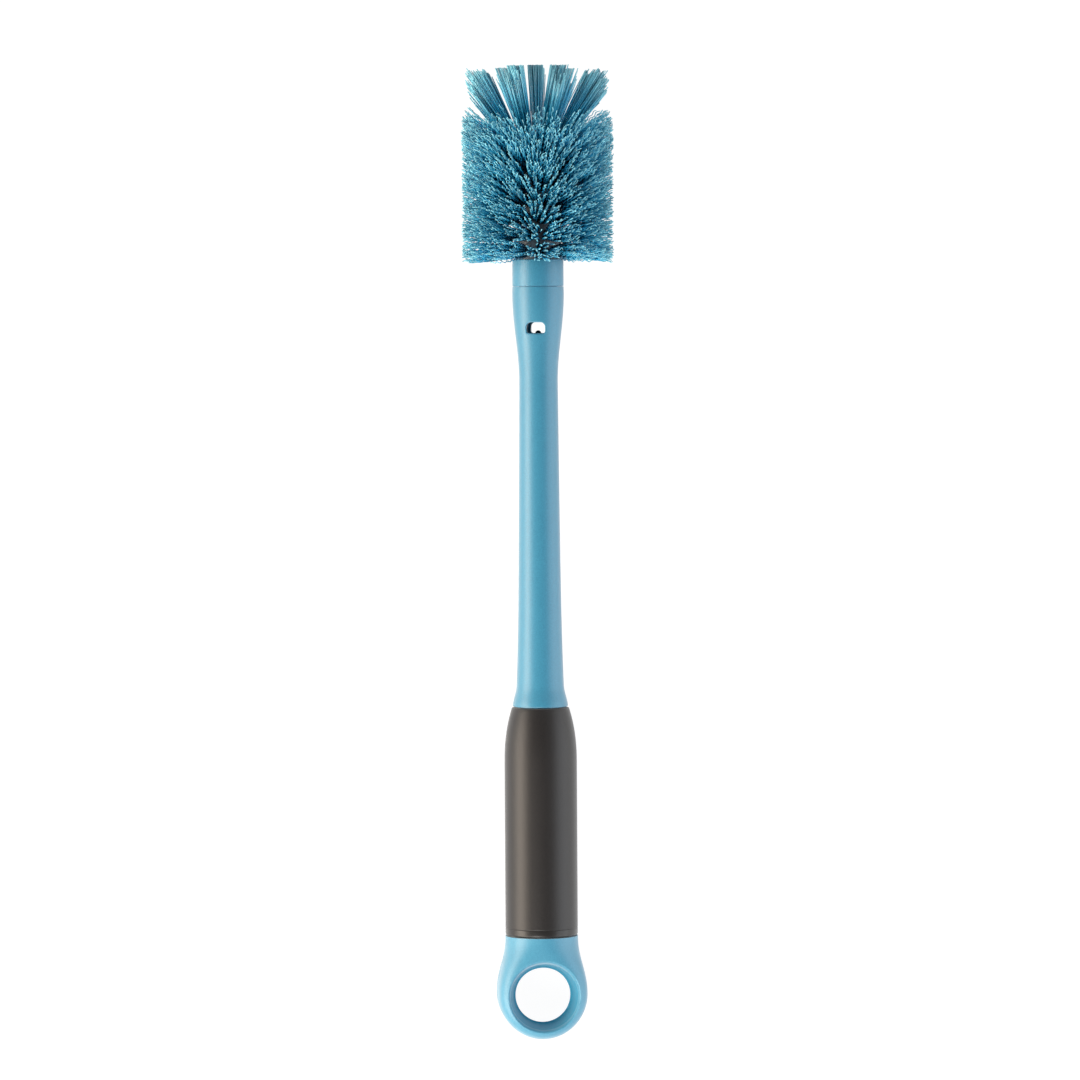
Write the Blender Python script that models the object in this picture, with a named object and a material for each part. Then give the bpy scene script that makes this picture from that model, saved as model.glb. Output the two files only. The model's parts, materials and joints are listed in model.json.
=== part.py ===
"""Bottle brush with a slim straw brush stored in its hollow handle.

Every piece is modelled upright along one axis, with the lowest point of the hanging loop at zero,
the loop's broad face towards -Y and the bristle head at the top. The empties at the end lay the
whole brush on a table: it rests on its loop and on the lowest bristles of its head, with the head
towards +Y and the loop's face up.
"""

import math

import bmesh
import bpy
from mathutils import Vector

MM = 0.001

# Clearances
GAP = 0.3 * MM                  # between pieces that touch
PLUG_CLEARANCE = 0.3 * MM       # radial, loop cap plug in the handle's mouth
SEAL_CLEARANCE = 0.15 * MM      # radial, seal ring to its groove and to the bore

# Hanging loop and cap
LOOP_OUTER_RADIUS = 16.05 * MM
LOOP_HOLE_RADIUS = 9.65 * MM
LOOP_MOUTH_RADIUS = 12.4 * MM
LOOP_LAND_WIDTH = 1.1 * MM
LOOP_THICKNESS = 22.8 * MM
CAP_LENGTH = 36.8 * MM          # lowest point of the loop to the grip
CAP_BLEND_LENGTH = 22.5 * MM    # loop centre to where the cap is fully round
CAP_DIAMETER = 26.1 * MM

# Plug, seal ring and the stem's seat
PLUG_DIAMETER = 16.0 * MM
PLUG_LENGTH = 22.0 * MM
PLUG_CHAMFER = 0.8 * MM
PLUG_ROOT_DEPTH = 0.8 * MM      # how far the plug reaches into the cap
SEAL_SECTION = 2.0 * MM
SEAL_HEIGHT = 12.0 * MM         # grip seam to the middle of the seal ring
SEAL_SIDE_PLAY = 0.3 * MM
STEM_SEAT_DEPTH = 12.0 * MM

# Straw brush
STEM_DIAMETER = 2.0 * MM
TIP_SHOW = 1.4 * MM             # how far the tip stands above the drain window's sill
TIP_LENGTH = 6.0 * MM
TIP_SEAT_DEPTH = 3.0 * MM
TIP_WALL = 0.25 * MM
TIP_NOSE_DIAMETER = 2.2 * MM
TIP_NOSE_LENGTH = 2.0 * MM
STRAW_BRISTLE_DIAMETER = 8.6 * MM
STRAW_BRISTLE_LENGTH = 62.0 * MM
STRAW_BRISTLE_TAPER = 7.0 * MM
STRAW_BRISTLE_DROP = 2.0 * MM   # bristles end this far under the tip's sleeve
STRAW_BRISTLE_CLEARANCE = 0.85 * MM   # radial, to the bore at the shaft's waist

# Grip
GRIP_LENGTH = 82.0 * MM
GRIP_DIAMETER = 25.8 * MM
GRIP_TOP_DIAMETER = 20.9 * MM
GRIP_SHOULDER_LENGTH = 20.0 * MM
GRIP_SHOULDER_POWER = 2.3
GRIP_WALL = 2.2 * MM
GRIP_EDGE = 0.5 * MM

# Shaft
SHAFT_LENGTH = 233.2 * MM       # mouth to the seam under the collar
SHOULDER_DIAMETER = 20.2 * MM
SHOULDER_STEP = 2.4 * MM        # fall in diameter over the cove above the grip
COVE_LENGTH = 7.7 * MM
ROOT_SWELL = 1.9 * MM           # extra diameter that fades away up the shaft
ROOT_SWELL_POWER = 4
FLARE_LENGTH = 32.0 * MM
FLARE_DIAMETER = 18.5 * MM
RIM_LENGTH = 2.3 * MM
COLLAR_DIAMETER = 18.25 * MM
SHAFT_WALL = 1.65 * MM          # at the waist, where the shaft is slimmest
WAIST_DIAMETER = STRAW_BRISTLE_DIAMETER + 2 * (STRAW_BRISTLE_CLEARANCE + SHAFT_WALL)
BORE_DRAFT = 1.05 * MM          # how much the bore's radius grows down to the plug seat
SEAT_CONE_LENGTH = 6.0 * MM
CHAMBER_RADIUS = 6.2 * MM
CHAMBER_CONE_LENGTH = 12.0 * MM

# Drain window
WINDOW_WIDTH = 7.6 * MM
WINDOW_HEIGHT = 4.7 * MM
WINDOW_DROP = 14.75 * MM        # collar seam to the window's middle
WINDOW_TOP_RADIUS = 1.6 * MM
WINDOW_BOTTOM_RADIUS = 0.8 * MM
WINDOW_TURN = math.radians(9.5)
WINDOW_CORNER_STEPS = 3

# Head core
HEAD_PLUG_DIAMETER = 13.6 * MM
HEAD_PLUG_LENGTH = 10.4 * MM
COLLAR_LENGTH = 9.4 * MM
COLLAR_EDGE = 0.4 * MM
SPINDLE_DIAMETER = 9.0 * MM
CORE_DIAMETER = 17.0 * MM
DOME_HEIGHT = 8.0 * MM
DOME_SKIRT = 1.8 * MM
DOME_TOP_RADIUS = 3.4 * MM

# Bristles
HEAD_RADIUS = 27.0 * MM
ROW_COUNT = 7
ROW_PITCH = 5.45 * MM
TUFTS_PER_ROW = 10
FIRST_TIP_DROP = 0.6 * MM       # lowest row's tips hang this far under their roots
TIP_PITCH = 8.0 * MM
SIDE_ROOT_SPREAD = 1.15 * MM
SIDE_TIP_SPREAD = 4.9 * MM
SIDE_ROOT_RISE = 0.75 * MM
SIDE_TIP_RISE = 2.4 * MM
STRAND_ROOT_RADIUS = 0.42 * MM
STRAND_TIP_RADIUS = 0.32 * MM
STRAND_DEPTH = 1.2 * MM
STRAND_SIDES = 3
CROWN_TUFTS = 8
CROWN_TUFT_CORNERS = 6          # bristles round the middle one of each tuft
CROWN_TURN = math.radians(-1.0)
CROWN_TILT = math.radians(38.5)
CROWN_TILT_SPREAD = math.radians(4.5)
CROWN_ROOT_RADIUS = 6.1 * MM
CROWN_ROOT_SPREAD = 1.1 * MM
CROWN_TIP_SPREAD = 2.6 * MM
CROWN_LENGTH = 23.0 * MM        # dome's top to the trimmed bristle ends
CROWN_REACH = 26.8 * MM         # how far from the axis the outer bristle ends get
MIDDLE_ROOT_SPREAD = 1.1 * MM
MIDDLE_TIP_SPREAD = 2.7 * MM

# Facets
ROUND_STEPS = 32
CORE_STEPS = 20
SLIM_STEPS = 12
SEAL_RING_STEPS = 8
TIP_DOME_STEPS = 4
CAP_SPIN_STEPS = 14
CAP_BLEND_STEPS = 8
CAP_SIDE_STEPS = 5
COVE_STEPS = 5
TAPER_STEPS = 6
FLARE_STEPS = 8
SHOULDER_STEPS = 6
CAP_SHARP_ANGLE = 50            # degrees, above the bend between the cap's facets

# Heights along the axis
LOOP_CENTRE = LOOP_OUTER_RADIUS
SEAM = CAP_LENGTH
MOUTH = SEAM + GAP
PLUG_END = SEAM + PLUG_LENGTH
GRIP_TOP = MOUTH + GRIP_LENGTH
SHAFT_TOP = MOUTH + SHAFT_LENGTH
COLLAR_TOP = SHAFT_TOP + GAP + COLLAR_LENGTH
HEAD_PLUG_END = SHAFT_TOP + GAP - HEAD_PLUG_LENGTH
WAIST = SHAFT_TOP - RIM_LENGTH - FLARE_LENGTH
CORE_BOTTOM = COLLAR_TOP + GAP
DOME_BOTTOM = CORE_BOTTOM + ROW_COUNT * ROW_PITCH
DOME_TOP = DOME_BOTTOM + DOME_HEIGHT
CROWN_TOP = DOME_TOP + CROWN_LENGTH
WINDOW_SILL = SHAFT_TOP - WINDOW_DROP - WINDOW_HEIGHT / 2
STRAW_BRUSH_REACH = WINDOW_SILL + TIP_SHOW - PLUG_END
TIP_END = PLUG_END + STRAW_BRUSH_REACH

# Radii that follow from their neighbours
MOUTH_BORE_RADIUS = PLUG_DIAMETER / 2 + PLUG_CLEARANCE
SEAL_OUTER_RADIUS = MOUTH_BORE_RADIUS - SEAL_CLEARANCE
SEAL_GROOVE_RADIUS = SEAL_OUTER_RADIUS - SEAL_SECTION - SEAL_CLEARANCE
WAIST_BORE_RADIUS = WAIST_DIAMETER / 2 - SHAFT_WALL
SEAT_BORE_RADIUS = WAIST_BORE_RADIUS + BORE_DRAFT
SOCKET_RADIUS = HEAD_PLUG_DIAMETER / 2 + GAP

# Resting on a table: the loop's land and the lowest bristle ends touch it
LOWEST_BRISTLES = CORE_BOTTOM + ROW_PITCH / 2 - FIRST_TIP_DROP - SIDE_TIP_RISE
LOOP_CONTACT = LOOP_CENTRE - LOOP_MOUTH_RADIUS - LOOP_LAND_WIDTH
REST_TILT = math.atan2(HEAD_RADIUS - LOOP_THICKNESS / 2, LOWEST_BRISTLES - LOOP_CONTACT)


def clear_scene():
    for old in list(bpy.data.objects):
        bpy.data.objects.remove(old, do_unlink=True)


def linear(value):
    """One sRGB channel, 0 to 255, as the linear value a shader takes."""
    level = value / 255
    return level / 12.92 if level <= 0.04045 else ((level + 0.055) / 1.055) ** 2.4


def plastic(name, rgb, roughness, metallic=0.0):
    material = bpy.data.materials.new(name)
    material.use_nodes = True
    shader = material.node_tree.nodes["Principled BSDF"]
    shader.inputs["Base Color"].default_value = (*[linear(channel) for channel in rgb], 1.0)
    shader.inputs["Roughness"].default_value = roughness
    shader.inputs["Metallic"].default_value = metallic
    return material


def add_object(name, mesh, material, parent):
    piece = bpy.data.objects.new(name, mesh)
    bpy.context.collection.objects.link(piece)
    piece.parent = parent
    if material is not None:
        mesh.materials.append(material)
    return piece


def finish_mesh(name, work, sharp_angle=35):
    """Turn bmesh work into a smooth-shaded mesh whose faces point out."""
    bmesh.ops.recalc_face_normals(work, faces=work.faces)
    mesh = bpy.data.meshes.new(name)
    work.to_mesh(mesh)
    work.free()
    mesh.shade_smooth()
    mesh.set_sharp_from_angle(angle=math.radians(sharp_angle))
    return mesh


def turned(name, profile, steps):
    """Turn a closed outline of (radius, height) points round the axis."""
    work = bmesh.new()
    points = [work.verts.new((radius, 0, height)) for radius, height in profile]
    on_axis = profile[0][0] == 0 and profile[-1][0] == 0
    edges = [work.edges.new(pair) for pair in zip(points, points[1:])]
    if not on_axis:
        edges.append(work.edges.new((points[-1], points[0])))
    bmesh.ops.spin(
        work, geom=points + edges, cent=(0, 0, 0), axis=(0, 0, 1),
        angle=math.tau, steps=steps, use_merge=True,
    )
    bmesh.ops.remove_doubles(work, verts=work.verts, dist=0.001 * MM)
    return finish_mesh(name, work)


def half_wave(share):
    """Ease from 0 to 1 with level ends."""
    return (1 - math.cos(math.pi * share)) / 2


def soft_step(share):
    """Ease from 0 to 1 with level, uncurved ends."""
    t = min(max(share, 0.0), 1.0)
    return t * t * t * (10 - 15 * t + 6 * t * t)


def spread(first, last, steps):
    """Evenly spaced values from first to last, both included."""
    return [first + (last - first) * step / steps for step in range(steps + 1)]


def grip_radius(height):
    """Outer radius of the grip: a cylinder with a rounded shoulder at its top."""
    share = max(0.0, (height - GRIP_TOP + GRIP_SHOULDER_LENGTH) / GRIP_SHOULDER_LENGTH)
    fall = (GRIP_DIAMETER - GRIP_TOP_DIAMETER) / 2
    return GRIP_DIAMETER / 2 - fall * share ** GRIP_SHOULDER_POWER


def grip_heights():
    return [MOUTH] + spread(GRIP_TOP - GRIP_SHOULDER_LENGTH, GRIP_TOP, SHOULDER_STEPS)


def shaft_taper_radius(height):
    """Outer radius between the grip and the waist, without the cove."""
    foot = GRIP_TOP + GAP
    share = 1 - (height - foot) / (WAIST - foot)
    foot_diameter = SHOULDER_DIAMETER - SHOULDER_STEP
    draft = foot_diameter - ROOT_SWELL - WAIST_DIAMETER
    return (WAIST_DIAMETER + draft * share + ROOT_SWELL * share ** ROOT_SWELL_POWER) / 2


def shaft_outline():
    """Outside of the shaft from the grip's top to the collar seam, as (radius, height)."""
    foot = GRIP_TOP + GAP
    outline = []
    for height in spread(foot, foot + COVE_LENGTH, COVE_STEPS):
        share = (height - foot) / COVE_LENGTH
        extra = SHOULDER_STEP * (1 - half_wave(share)) / 2
        outline.append((shaft_taper_radius(height) + extra, height))
    for height in spread(foot + COVE_LENGTH, WAIST, TAPER_STEPS)[1:]:
        outline.append((shaft_taper_radius(height), height))
    for share in spread(0, 1, FLARE_STEPS)[1:]:
        growth = (FLARE_DIAMETER - WAIST_DIAMETER) * half_wave(share)
        outline.append(((WAIST_DIAMETER + growth) / 2, WAIST + FLARE_LENGTH * share))
    outline.append((COLLAR_DIAMETER / 2, SHAFT_TOP))
    return outline


def window_cutter(parent):
    """Slot with rounded corners that goes through both walls of the shaft."""
    work = bmesh.new()
    outline = []
    corners = (
        (1, 1, WINDOW_TOP_RADIUS), (-1, 1, WINDOW_TOP_RADIUS),
        (-1, -1, WINDOW_BOTTOM_RADIUS), (1, -1, WINDOW_BOTTOM_RADIUS),
    )
    for quarter, (side, end, radius) in enumerate(corners):
        centre_x = side * (WINDOW_WIDTH / 2 - radius)
        centre_z = end * (WINDOW_HEIGHT / 2 - radius)
        for turn in spread(quarter, quarter + 1, WINDOW_CORNER_STEPS):
            angle = turn * math.pi / 2
            x = centre_x + radius * math.cos(angle)
            z = centre_z + radius * math.sin(angle)
            outline.append(work.verts.new((x, -FLARE_DIAMETER, z)))
    face = work.faces.new(outline)
    pushed = bmesh.ops.extrude_face_region(work, geom=[face])["geom"]
    moved = [item for item in pushed if isinstance(item, bmesh.types.BMVert)]
    bmesh.ops.translate(work, verts=moved, vec=(0, 2 * FLARE_DIAMETER, 0))
    cutter = add_object("window_cutter", finish_mesh("window_cutter", work), None, parent)
    cutter.location.z = SHAFT_TOP - WINDOW_DROP
    cutter.rotation_euler.z = -WINDOW_TURN
    hide_guide(cutter)
    return cutter


def hide_guide(guide):
    guide.hide_render = True
    guide.display_type = "WIRE"


def add_boolean(piece, operand, operation):
    cut = piece.modifiers.new(operand.name, "BOOLEAN")
    cut.object = operand
    cut.operation = operation
    cut.solver = "EXACT"


def make_shaft(material, parent):
    under_grip = [(grip_radius(h) - GRIP_WALL - GAP, h) for h in grip_heights()]
    under_grip[-1] = (under_grip[-1][0], GRIP_TOP + GAP)
    seat_top = PLUG_END + GAP
    inside = [
        (SOCKET_RADIUS, SHAFT_TOP),
        (SOCKET_RADIUS, HEAD_PLUG_END - GAP),
        (CHAMBER_RADIUS, HEAD_PLUG_END - GAP),
        (CHAMBER_RADIUS, WINDOW_SILL),
        (WAIST_BORE_RADIUS, WINDOW_SILL - CHAMBER_CONE_LENGTH),
        (SEAT_BORE_RADIUS, seat_top + SEAT_CONE_LENGTH),
        (MOUTH_BORE_RADIUS, seat_top),
        (MOUTH_BORE_RADIUS, MOUTH),
    ]
    mesh = turned("shaft", under_grip + shaft_outline() + inside, ROUND_STEPS)
    shaft = add_object("shaft", mesh, material, parent)
    add_boolean(shaft, window_cutter(parent), "DIFFERENCE")


def make_grip(material, parent):
    outer = [(grip_radius(h), h) for h in grip_heights()]
    outer[0] = (outer[0][0] - GRIP_EDGE, MOUTH)
    outer.insert(1, (grip_radius(MOUTH), MOUTH + GRIP_EDGE))
    inner = [(grip_radius(h) - GRIP_WALL, h) for h in reversed(grip_heights())]
    mesh = turned("grip", outer + inner, ROUND_STEPS)
    add_object("grip", mesh, material, parent)


def make_head_core(material, parent):
    spindle = SPINDLE_DIAMETER / 2
    profile = [
        (0, HEAD_PLUG_END),
        (HEAD_PLUG_DIAMETER / 2, HEAD_PLUG_END),
        (HEAD_PLUG_DIAMETER / 2, SHAFT_TOP + GAP),
        (COLLAR_DIAMETER / 2, SHAFT_TOP + GAP),
        (COLLAR_DIAMETER / 2, COLLAR_TOP - COLLAR_EDGE),
        (COLLAR_DIAMETER / 2 - COLLAR_EDGE, COLLAR_TOP),
        (spindle, COLLAR_TOP),
        (spindle, DOME_BOTTOM - GAP),
        (0, DOME_BOTTOM - GAP),
    ]
    add_object("head_core", turned("head_core", profile, CORE_STEPS), material, parent)


def polar(radius, angle, height):
    """A point at an angle round the axis, counted from the loop's face towards +X."""
    return Vector((radius * math.sin(angle), -radius * math.cos(angle), height))


def add_strand(work, root, tip):
    """One tapered bristle from under the core's surface at root out to tip."""
    along = (tip - root).normalized()
    across = along.orthogonal().normalized()
    other = along.cross(across)
    start = root - along * STRAND_DEPTH
    rings = []
    for centre, radius in ((start, STRAND_ROOT_RADIUS), (tip, STRAND_TIP_RADIUS)):
        ring = []
        for side in range(STRAND_SIDES):
            angle = side * math.tau / STRAND_SIDES
            offset = across * math.cos(angle) + other * math.sin(angle)
            ring.append(work.verts.new(centre + offset * radius))
        rings.append(ring)
    work.faces.new(rings[0])
    work.faces.new(rings[1])
    for side in range(STRAND_SIDES):
        after = (side + 1) % STRAND_SIDES
        work.faces.new((rings[0][side], rings[0][after], rings[1][after], rings[1][side]))


def side_strands(row):
    """Root and tip of each bristle in one ring of side tufts."""
    root_height = CORE_BOTTOM + (row + 0.5) * ROW_PITCH
    tip_height = CORE_BOTTOM + ROW_PITCH / 2 - FIRST_TIP_DROP + row * TIP_PITCH
    core = CORE_DIAMETER / 2
    pattern = [(0, 0), (-1, -1), (1, -1), (1, 1), (-1, 1)]
    for tuft in range(TUFTS_PER_ROW):
        middle = (tuft + 0.5 * (row % 2)) * math.tau / TUFTS_PER_ROW
        for across, up in pattern:
            root_angle = middle + across * SIDE_ROOT_SPREAD / core
            tip_angle = middle + across * SIDE_TIP_SPREAD / HEAD_RADIUS
            root = polar(core, root_angle, root_height + up * SIDE_ROOT_RISE)
            tip = polar(HEAD_RADIUS, tip_angle, tip_height + up * SIDE_TIP_RISE)
            yield root, tip


def crown_strands():
    """Root and tip of each bristle of the splayed ring and of the middle tuft."""
    pattern = [(0, 0)]
    for corner in range(CROWN_TUFT_CORNERS):
        angle = corner * math.tau / CROWN_TUFT_CORNERS
        pattern.append((math.cos(angle), math.sin(angle)))
    dome_fall = DOME_HEIGHT - DOME_SKIRT
    dome_run = CORE_DIAMETER / 2 - DOME_TOP_RADIUS
    for tuft in range(CROWN_TUFTS):
        middle = CROWN_TURN + (tuft + 0.5) * math.tau / CROWN_TUFTS
        for across, out in pattern:
            root_radius = CROWN_ROOT_RADIUS + out * CROWN_ROOT_SPREAD
            root_angle = middle + across * CROWN_ROOT_SPREAD / CROWN_ROOT_RADIUS
            tip_angle = middle + across * CROWN_TIP_SPREAD / CROWN_REACH
            root_height = DOME_TOP - dome_fall * (root_radius - DOME_TOP_RADIUS) / dome_run
            slope = math.tan(CROWN_TILT + out * CROWN_TILT_SPREAD)
            rise = min(CROWN_TOP - root_height, (CROWN_REACH - root_radius) / slope)
            root = polar(root_radius, root_angle, root_height)
            tip = polar(root_radius + rise * slope, tip_angle, root_height + rise)
            yield root, tip
    for across, out in pattern:
        root = Vector((across * MIDDLE_ROOT_SPREAD, out * MIDDLE_ROOT_SPREAD, DOME_TOP))
        tip = Vector((across * MIDDLE_TIP_SPREAD, out * MIDDLE_TIP_SPREAD, CROWN_TOP))
        yield root, tip


def make_bristles(name, backing_profile, strands, material, parent):
    """A slice of the core with its bristles fused to it."""
    work = bmesh.new()
    for root, tip in strands:
        add_strand(work, root, tip)
    bundle = add_object(name + "_bundle", finish_mesh(name + "_bundle", work), None, parent)
    hide_guide(bundle)
    mesh = turned(name, backing_profile, CORE_STEPS)
    slice_of_core = add_object(name, mesh, material, parent)
    add_boolean(slice_of_core, bundle, "UNION")


def make_side_rows(material, parent):
    bore = SPINDLE_DIAMETER / 2 + GAP
    for row in range(ROW_COUNT):
        low = CORE_BOTTOM + row * ROW_PITCH
        high = low + ROW_PITCH - GAP
        profile = [
            (CORE_DIAMETER / 2, low), (CORE_DIAMETER / 2, high), (bore, high), (bore, low),
        ]
        name = f"bristle_row_{row + 1}"
        make_bristles(name, profile, side_strands(row), material, parent)


def make_crown(material, parent):
    profile = [
        (0, DOME_BOTTOM),
        (CORE_DIAMETER / 2, DOME_BOTTOM),
        (CORE_DIAMETER / 2, DOME_BOTTOM + DOME_SKIRT),
        (DOME_TOP_RADIUS, DOME_TOP),
        (0, DOME_TOP),
    ]
    make_bristles("crown_bristles", profile, crown_strands(), material, parent)


def loop_section():
    """Half of the loop's outer section, front to back, as (distance from hole's axis, depth)."""
    land = LOOP_MOUTH_RADIUS + LOOP_LAND_WIDTH
    bulge = LOOP_OUTER_RADIUS - land
    half = LOOP_THICKNESS / 2
    front = [(0, -half), (land, -half)]
    for share in spread(0, 1, CAP_SIDE_STEPS)[1:]:
        angle = share * math.pi / 2
        front.append((land + bulge * math.sin(angle), -half * math.cos(angle)))
    back = [(reach, -depth) for reach, depth in reversed(front[:-1])]
    return front + back


def cap_section(height):
    """Half of the cap's section at a height above the hole, blending from loop to round."""
    weight = soft_step((height - LOOP_CENTRE) / CAP_BLEND_LENGTH)
    loop = loop_section()
    section = []
    for index, (reach, depth) in enumerate(loop):
        angle = index * math.pi / (len(loop) - 1)
        round_reach = CAP_DIAMETER / 2 * math.sin(angle)
        round_depth = -CAP_DIAMETER / 2 * math.cos(angle)
        section.append((
            reach + (round_reach - reach) * weight,
            depth + (round_depth - depth) * weight,
        ))
    return section


def cap_body():
    """Outer skin of the cap: the loop's lower half spun round the hole, then a loft to the seam."""
    work = bmesh.new()
    half = loop_section()
    last = len(half) - 1
    front_pole = work.verts.new((0, half[0][1], LOOP_CENTRE))
    back_pole = work.verts.new((0, half[last][1], LOOP_CENTRE))
    arcs = []
    for angle in spread(0, math.pi, CAP_SPIN_STEPS):
        arc = []
        for reach, depth in half[1:last]:
            x = reach * math.cos(angle)
            z = LOOP_CENTRE - reach * math.sin(angle)
            arc.append(work.verts.new((x, depth, z)))
        arcs.append(arc)
    for near, far in zip(arcs, arcs[1:]):
        work.faces.new((front_pole, near[0], far[0]))
        work.faces.new((back_pole, far[-1], near[-1]))
        for index in range(len(near) - 1):
            work.faces.new((near[index], near[index + 1], far[index + 1], far[index]))
    ring = [front_pole] + arcs[0] + [back_pole] + arcs[-1][::-1]
    for height in spread(LOOP_CENTRE, SEAM, CAP_BLEND_STEPS)[1:]:
        right = cap_section(height)
        outline = right + [(-reach, depth) for reach, depth in right[-2:0:-1]]
        above = [work.verts.new((x, y, height)) for x, y in outline]
        for index in range(len(ring)):
            after = (index + 1) % len(ring)
            work.faces.new((ring[index], above[index], above[after], ring[after]))
        ring = above
    work.faces.new(ring)
    return finish_mesh("loop_cap", work, CAP_SHARP_ANGLE)


def hole_cutter(parent):
    """The hanging hole: narrow in the middle and opening out to both faces."""
    half = LOOP_THICKNESS / 2
    growth = LOOP_MOUTH_RADIUS - LOOP_HOLE_RADIUS
    profile = []
    for share in spread(-1, 1, 2 * CAP_SIDE_STEPS):
        profile.append((LOOP_HOLE_RADIUS + growth * share * share, half * share))
    beyond = profile[-1][0]
    profile = [(0, -2 * half), (beyond, -2 * half)] + profile + [(beyond, 2 * half), (0, 2 * half)]
    cutter = add_object("hole_cutter", turned("hole_cutter", profile, ROUND_STEPS), None, parent)
    cutter.rotation_euler.x = math.pi / 2
    cutter.location.z = LOOP_CENTRE
    hide_guide(cutter)
    return cutter


def plug_guide(parent):
    """The plug with its seal groove and the stem's seat, joined to the cap by a union."""
    groove_low = SEAM + SEAL_HEIGHT - SEAL_SECTION / 2 - SEAL_SIDE_PLAY
    groove_high = SEAM + SEAL_HEIGHT + SEAL_SECTION / 2 + SEAL_SIDE_PLAY
    seat_radius = STEM_DIAMETER / 2 + GAP
    root = SEAM - PLUG_ROOT_DEPTH
    profile = [
        (0, root),
        (PLUG_DIAMETER / 2, root),
        (PLUG_DIAMETER / 2, groove_low),
        (SEAL_GROOVE_RADIUS, groove_low),
        (SEAL_GROOVE_RADIUS, groove_high),
        (PLUG_DIAMETER / 2, groove_high),
        (PLUG_DIAMETER / 2, PLUG_END - PLUG_CHAMFER),
        (PLUG_DIAMETER / 2 - PLUG_CHAMFER, PLUG_END),
        (seat_radius, PLUG_END),
        (seat_radius, PLUG_END - STEM_SEAT_DEPTH),
        (0, PLUG_END - STEM_SEAT_DEPTH),
    ]
    plug = add_object("plug", turned("plug", profile, ROUND_STEPS), None, parent)
    hide_guide(plug)
    return plug


def make_loop_cap(material, parent):
    cap = add_object("loop_cap", cap_body(), material, parent)
    add_boolean(cap, hole_cutter(parent), "DIFFERENCE")
    add_boolean(cap, plug_guide(parent), "UNION")


def make_seal_ring(material, parent):
    section = SEAL_SECTION / 2
    profile = []
    for step in range(SEAL_RING_STEPS):
        angle = step * math.tau / SEAL_RING_STEPS
        reach = SEAL_OUTER_RADIUS - section + section * math.cos(angle)
        profile.append((reach, section * math.sin(angle)))
    ring = add_object("seal_ring", turned("seal_ring", profile, ROUND_STEPS), material, parent)
    ring.location.z = SEAM + SEAL_HEIGHT


def make_straw_brush(wire, nylon, dark, parent):
    stem_foot = PLUG_END - STEM_SEAT_DEPTH + GAP
    stem_top = TIP_END - TIP_LENGTH + TIP_SEAT_DEPTH
    radius = STEM_DIAMETER / 2
    stem = [(0, stem_foot), (radius, stem_foot), (radius, stem_top), (0, stem_top)]
    add_object("straw_brush_stem", turned("straw_brush_stem", stem, SLIM_STEPS), wire, parent)

    top = TIP_END - TIP_LENGTH - STRAW_BRISTLE_DROP
    foot = top - STRAW_BRISTLE_LENGTH
    inside = radius + GAP
    full = STRAW_BRISTLE_DIAMETER / 2
    slim = (inside + full) / 2
    brush = [
        (slim, foot), (full, foot + STRAW_BRISTLE_TAPER), (full, top - STRAW_BRISTLE_TAPER),
        (slim, top), (inside, top), (inside, foot),
    ]
    mesh = turned("straw_brush_bristles", brush, SLIM_STEPS)
    add_object("straw_brush_bristles", mesh, nylon, parent)

    nose = TIP_NOSE_DIAMETER / 2
    sleeve = inside + TIP_WALL
    sleeve_foot = TIP_END - TIP_LENGTH
    seat_end = stem_top + GAP
    tip = [
        (0, seat_end), (inside, seat_end), (inside, sleeve_foot),
        (sleeve, sleeve_foot), (sleeve, seat_end + TIP_WALL), (nose, TIP_END - TIP_NOSE_LENGTH),
    ]
    for share in spread(0, 1, TIP_DOME_STEPS)[:-1]:
        angle = share * math.pi / 2
        tip.append((nose * math.cos(angle), TIP_END - nose + nose * math.sin(angle)))
    tip.append((0, TIP_END))
    add_object("straw_brush_tip", turned("straw_brush_tip", tip, SLIM_STEPS), dark, parent)


def make_empty(name, parent=None):
    empty = bpy.data.objects.new(name, None)
    bpy.context.collection.objects.link(empty)
    empty.parent = parent
    return empty


def lay_down(empty):
    """Turn the brush's axis towards +Y and set it down with its middle over the origin."""
    empty.rotation_euler.x = REST_TILT - math.pi / 2
    half_thickness = LOOP_THICKNESS / 2
    empty.location.y = -CROWN_TOP * math.cos(REST_TILT) / 2
    height = half_thickness * math.cos(REST_TILT) - LOOP_CONTACT * math.sin(REST_TILT)
    empty.location.z = height


def main():
    clear_scene()
    blue = plastic("blue_plastic", (112, 176, 203), 0.42)
    dark_rubber = plastic("grip_rubber", (72, 66, 62), 0.62)
    bristle_nylon = plastic("bristle_nylon", (62, 140, 168), 0.4)
    seal_rubber = plastic("seal_rubber", (40, 40, 42), 0.6)
    wire = plastic("stem_wire", (176, 180, 184), 0.3, 1.0)
    straw_nylon = plastic("straw_bristle_nylon", (62, 140, 168), 0.45)
    tip_plastic = plastic("tip_plastic", (38, 58, 68), 0.5)

    brush_axis = make_empty("brush_axis")
    straw_brush = make_empty("straw_brush_axis", brush_axis)
    handle = make_empty("handle_axis", brush_axis)

    make_shaft(blue, handle)
    make_grip(dark_rubber, handle)
    make_head_core(blue, handle)
    make_side_rows(bristle_nylon, handle)
    make_crown(bristle_nylon, handle)
    make_loop_cap(blue, straw_brush)
    make_seal_ring(seal_rubber, straw_brush)
    make_straw_brush(wire, straw_nylon, tip_plastic, straw_brush)
    lay_down(brush_axis)


main()
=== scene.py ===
import json
import math
from collections import namedtuple

import bmesh
import bpy
import numpy as np
from mathutils import Matrix, Vector

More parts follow.
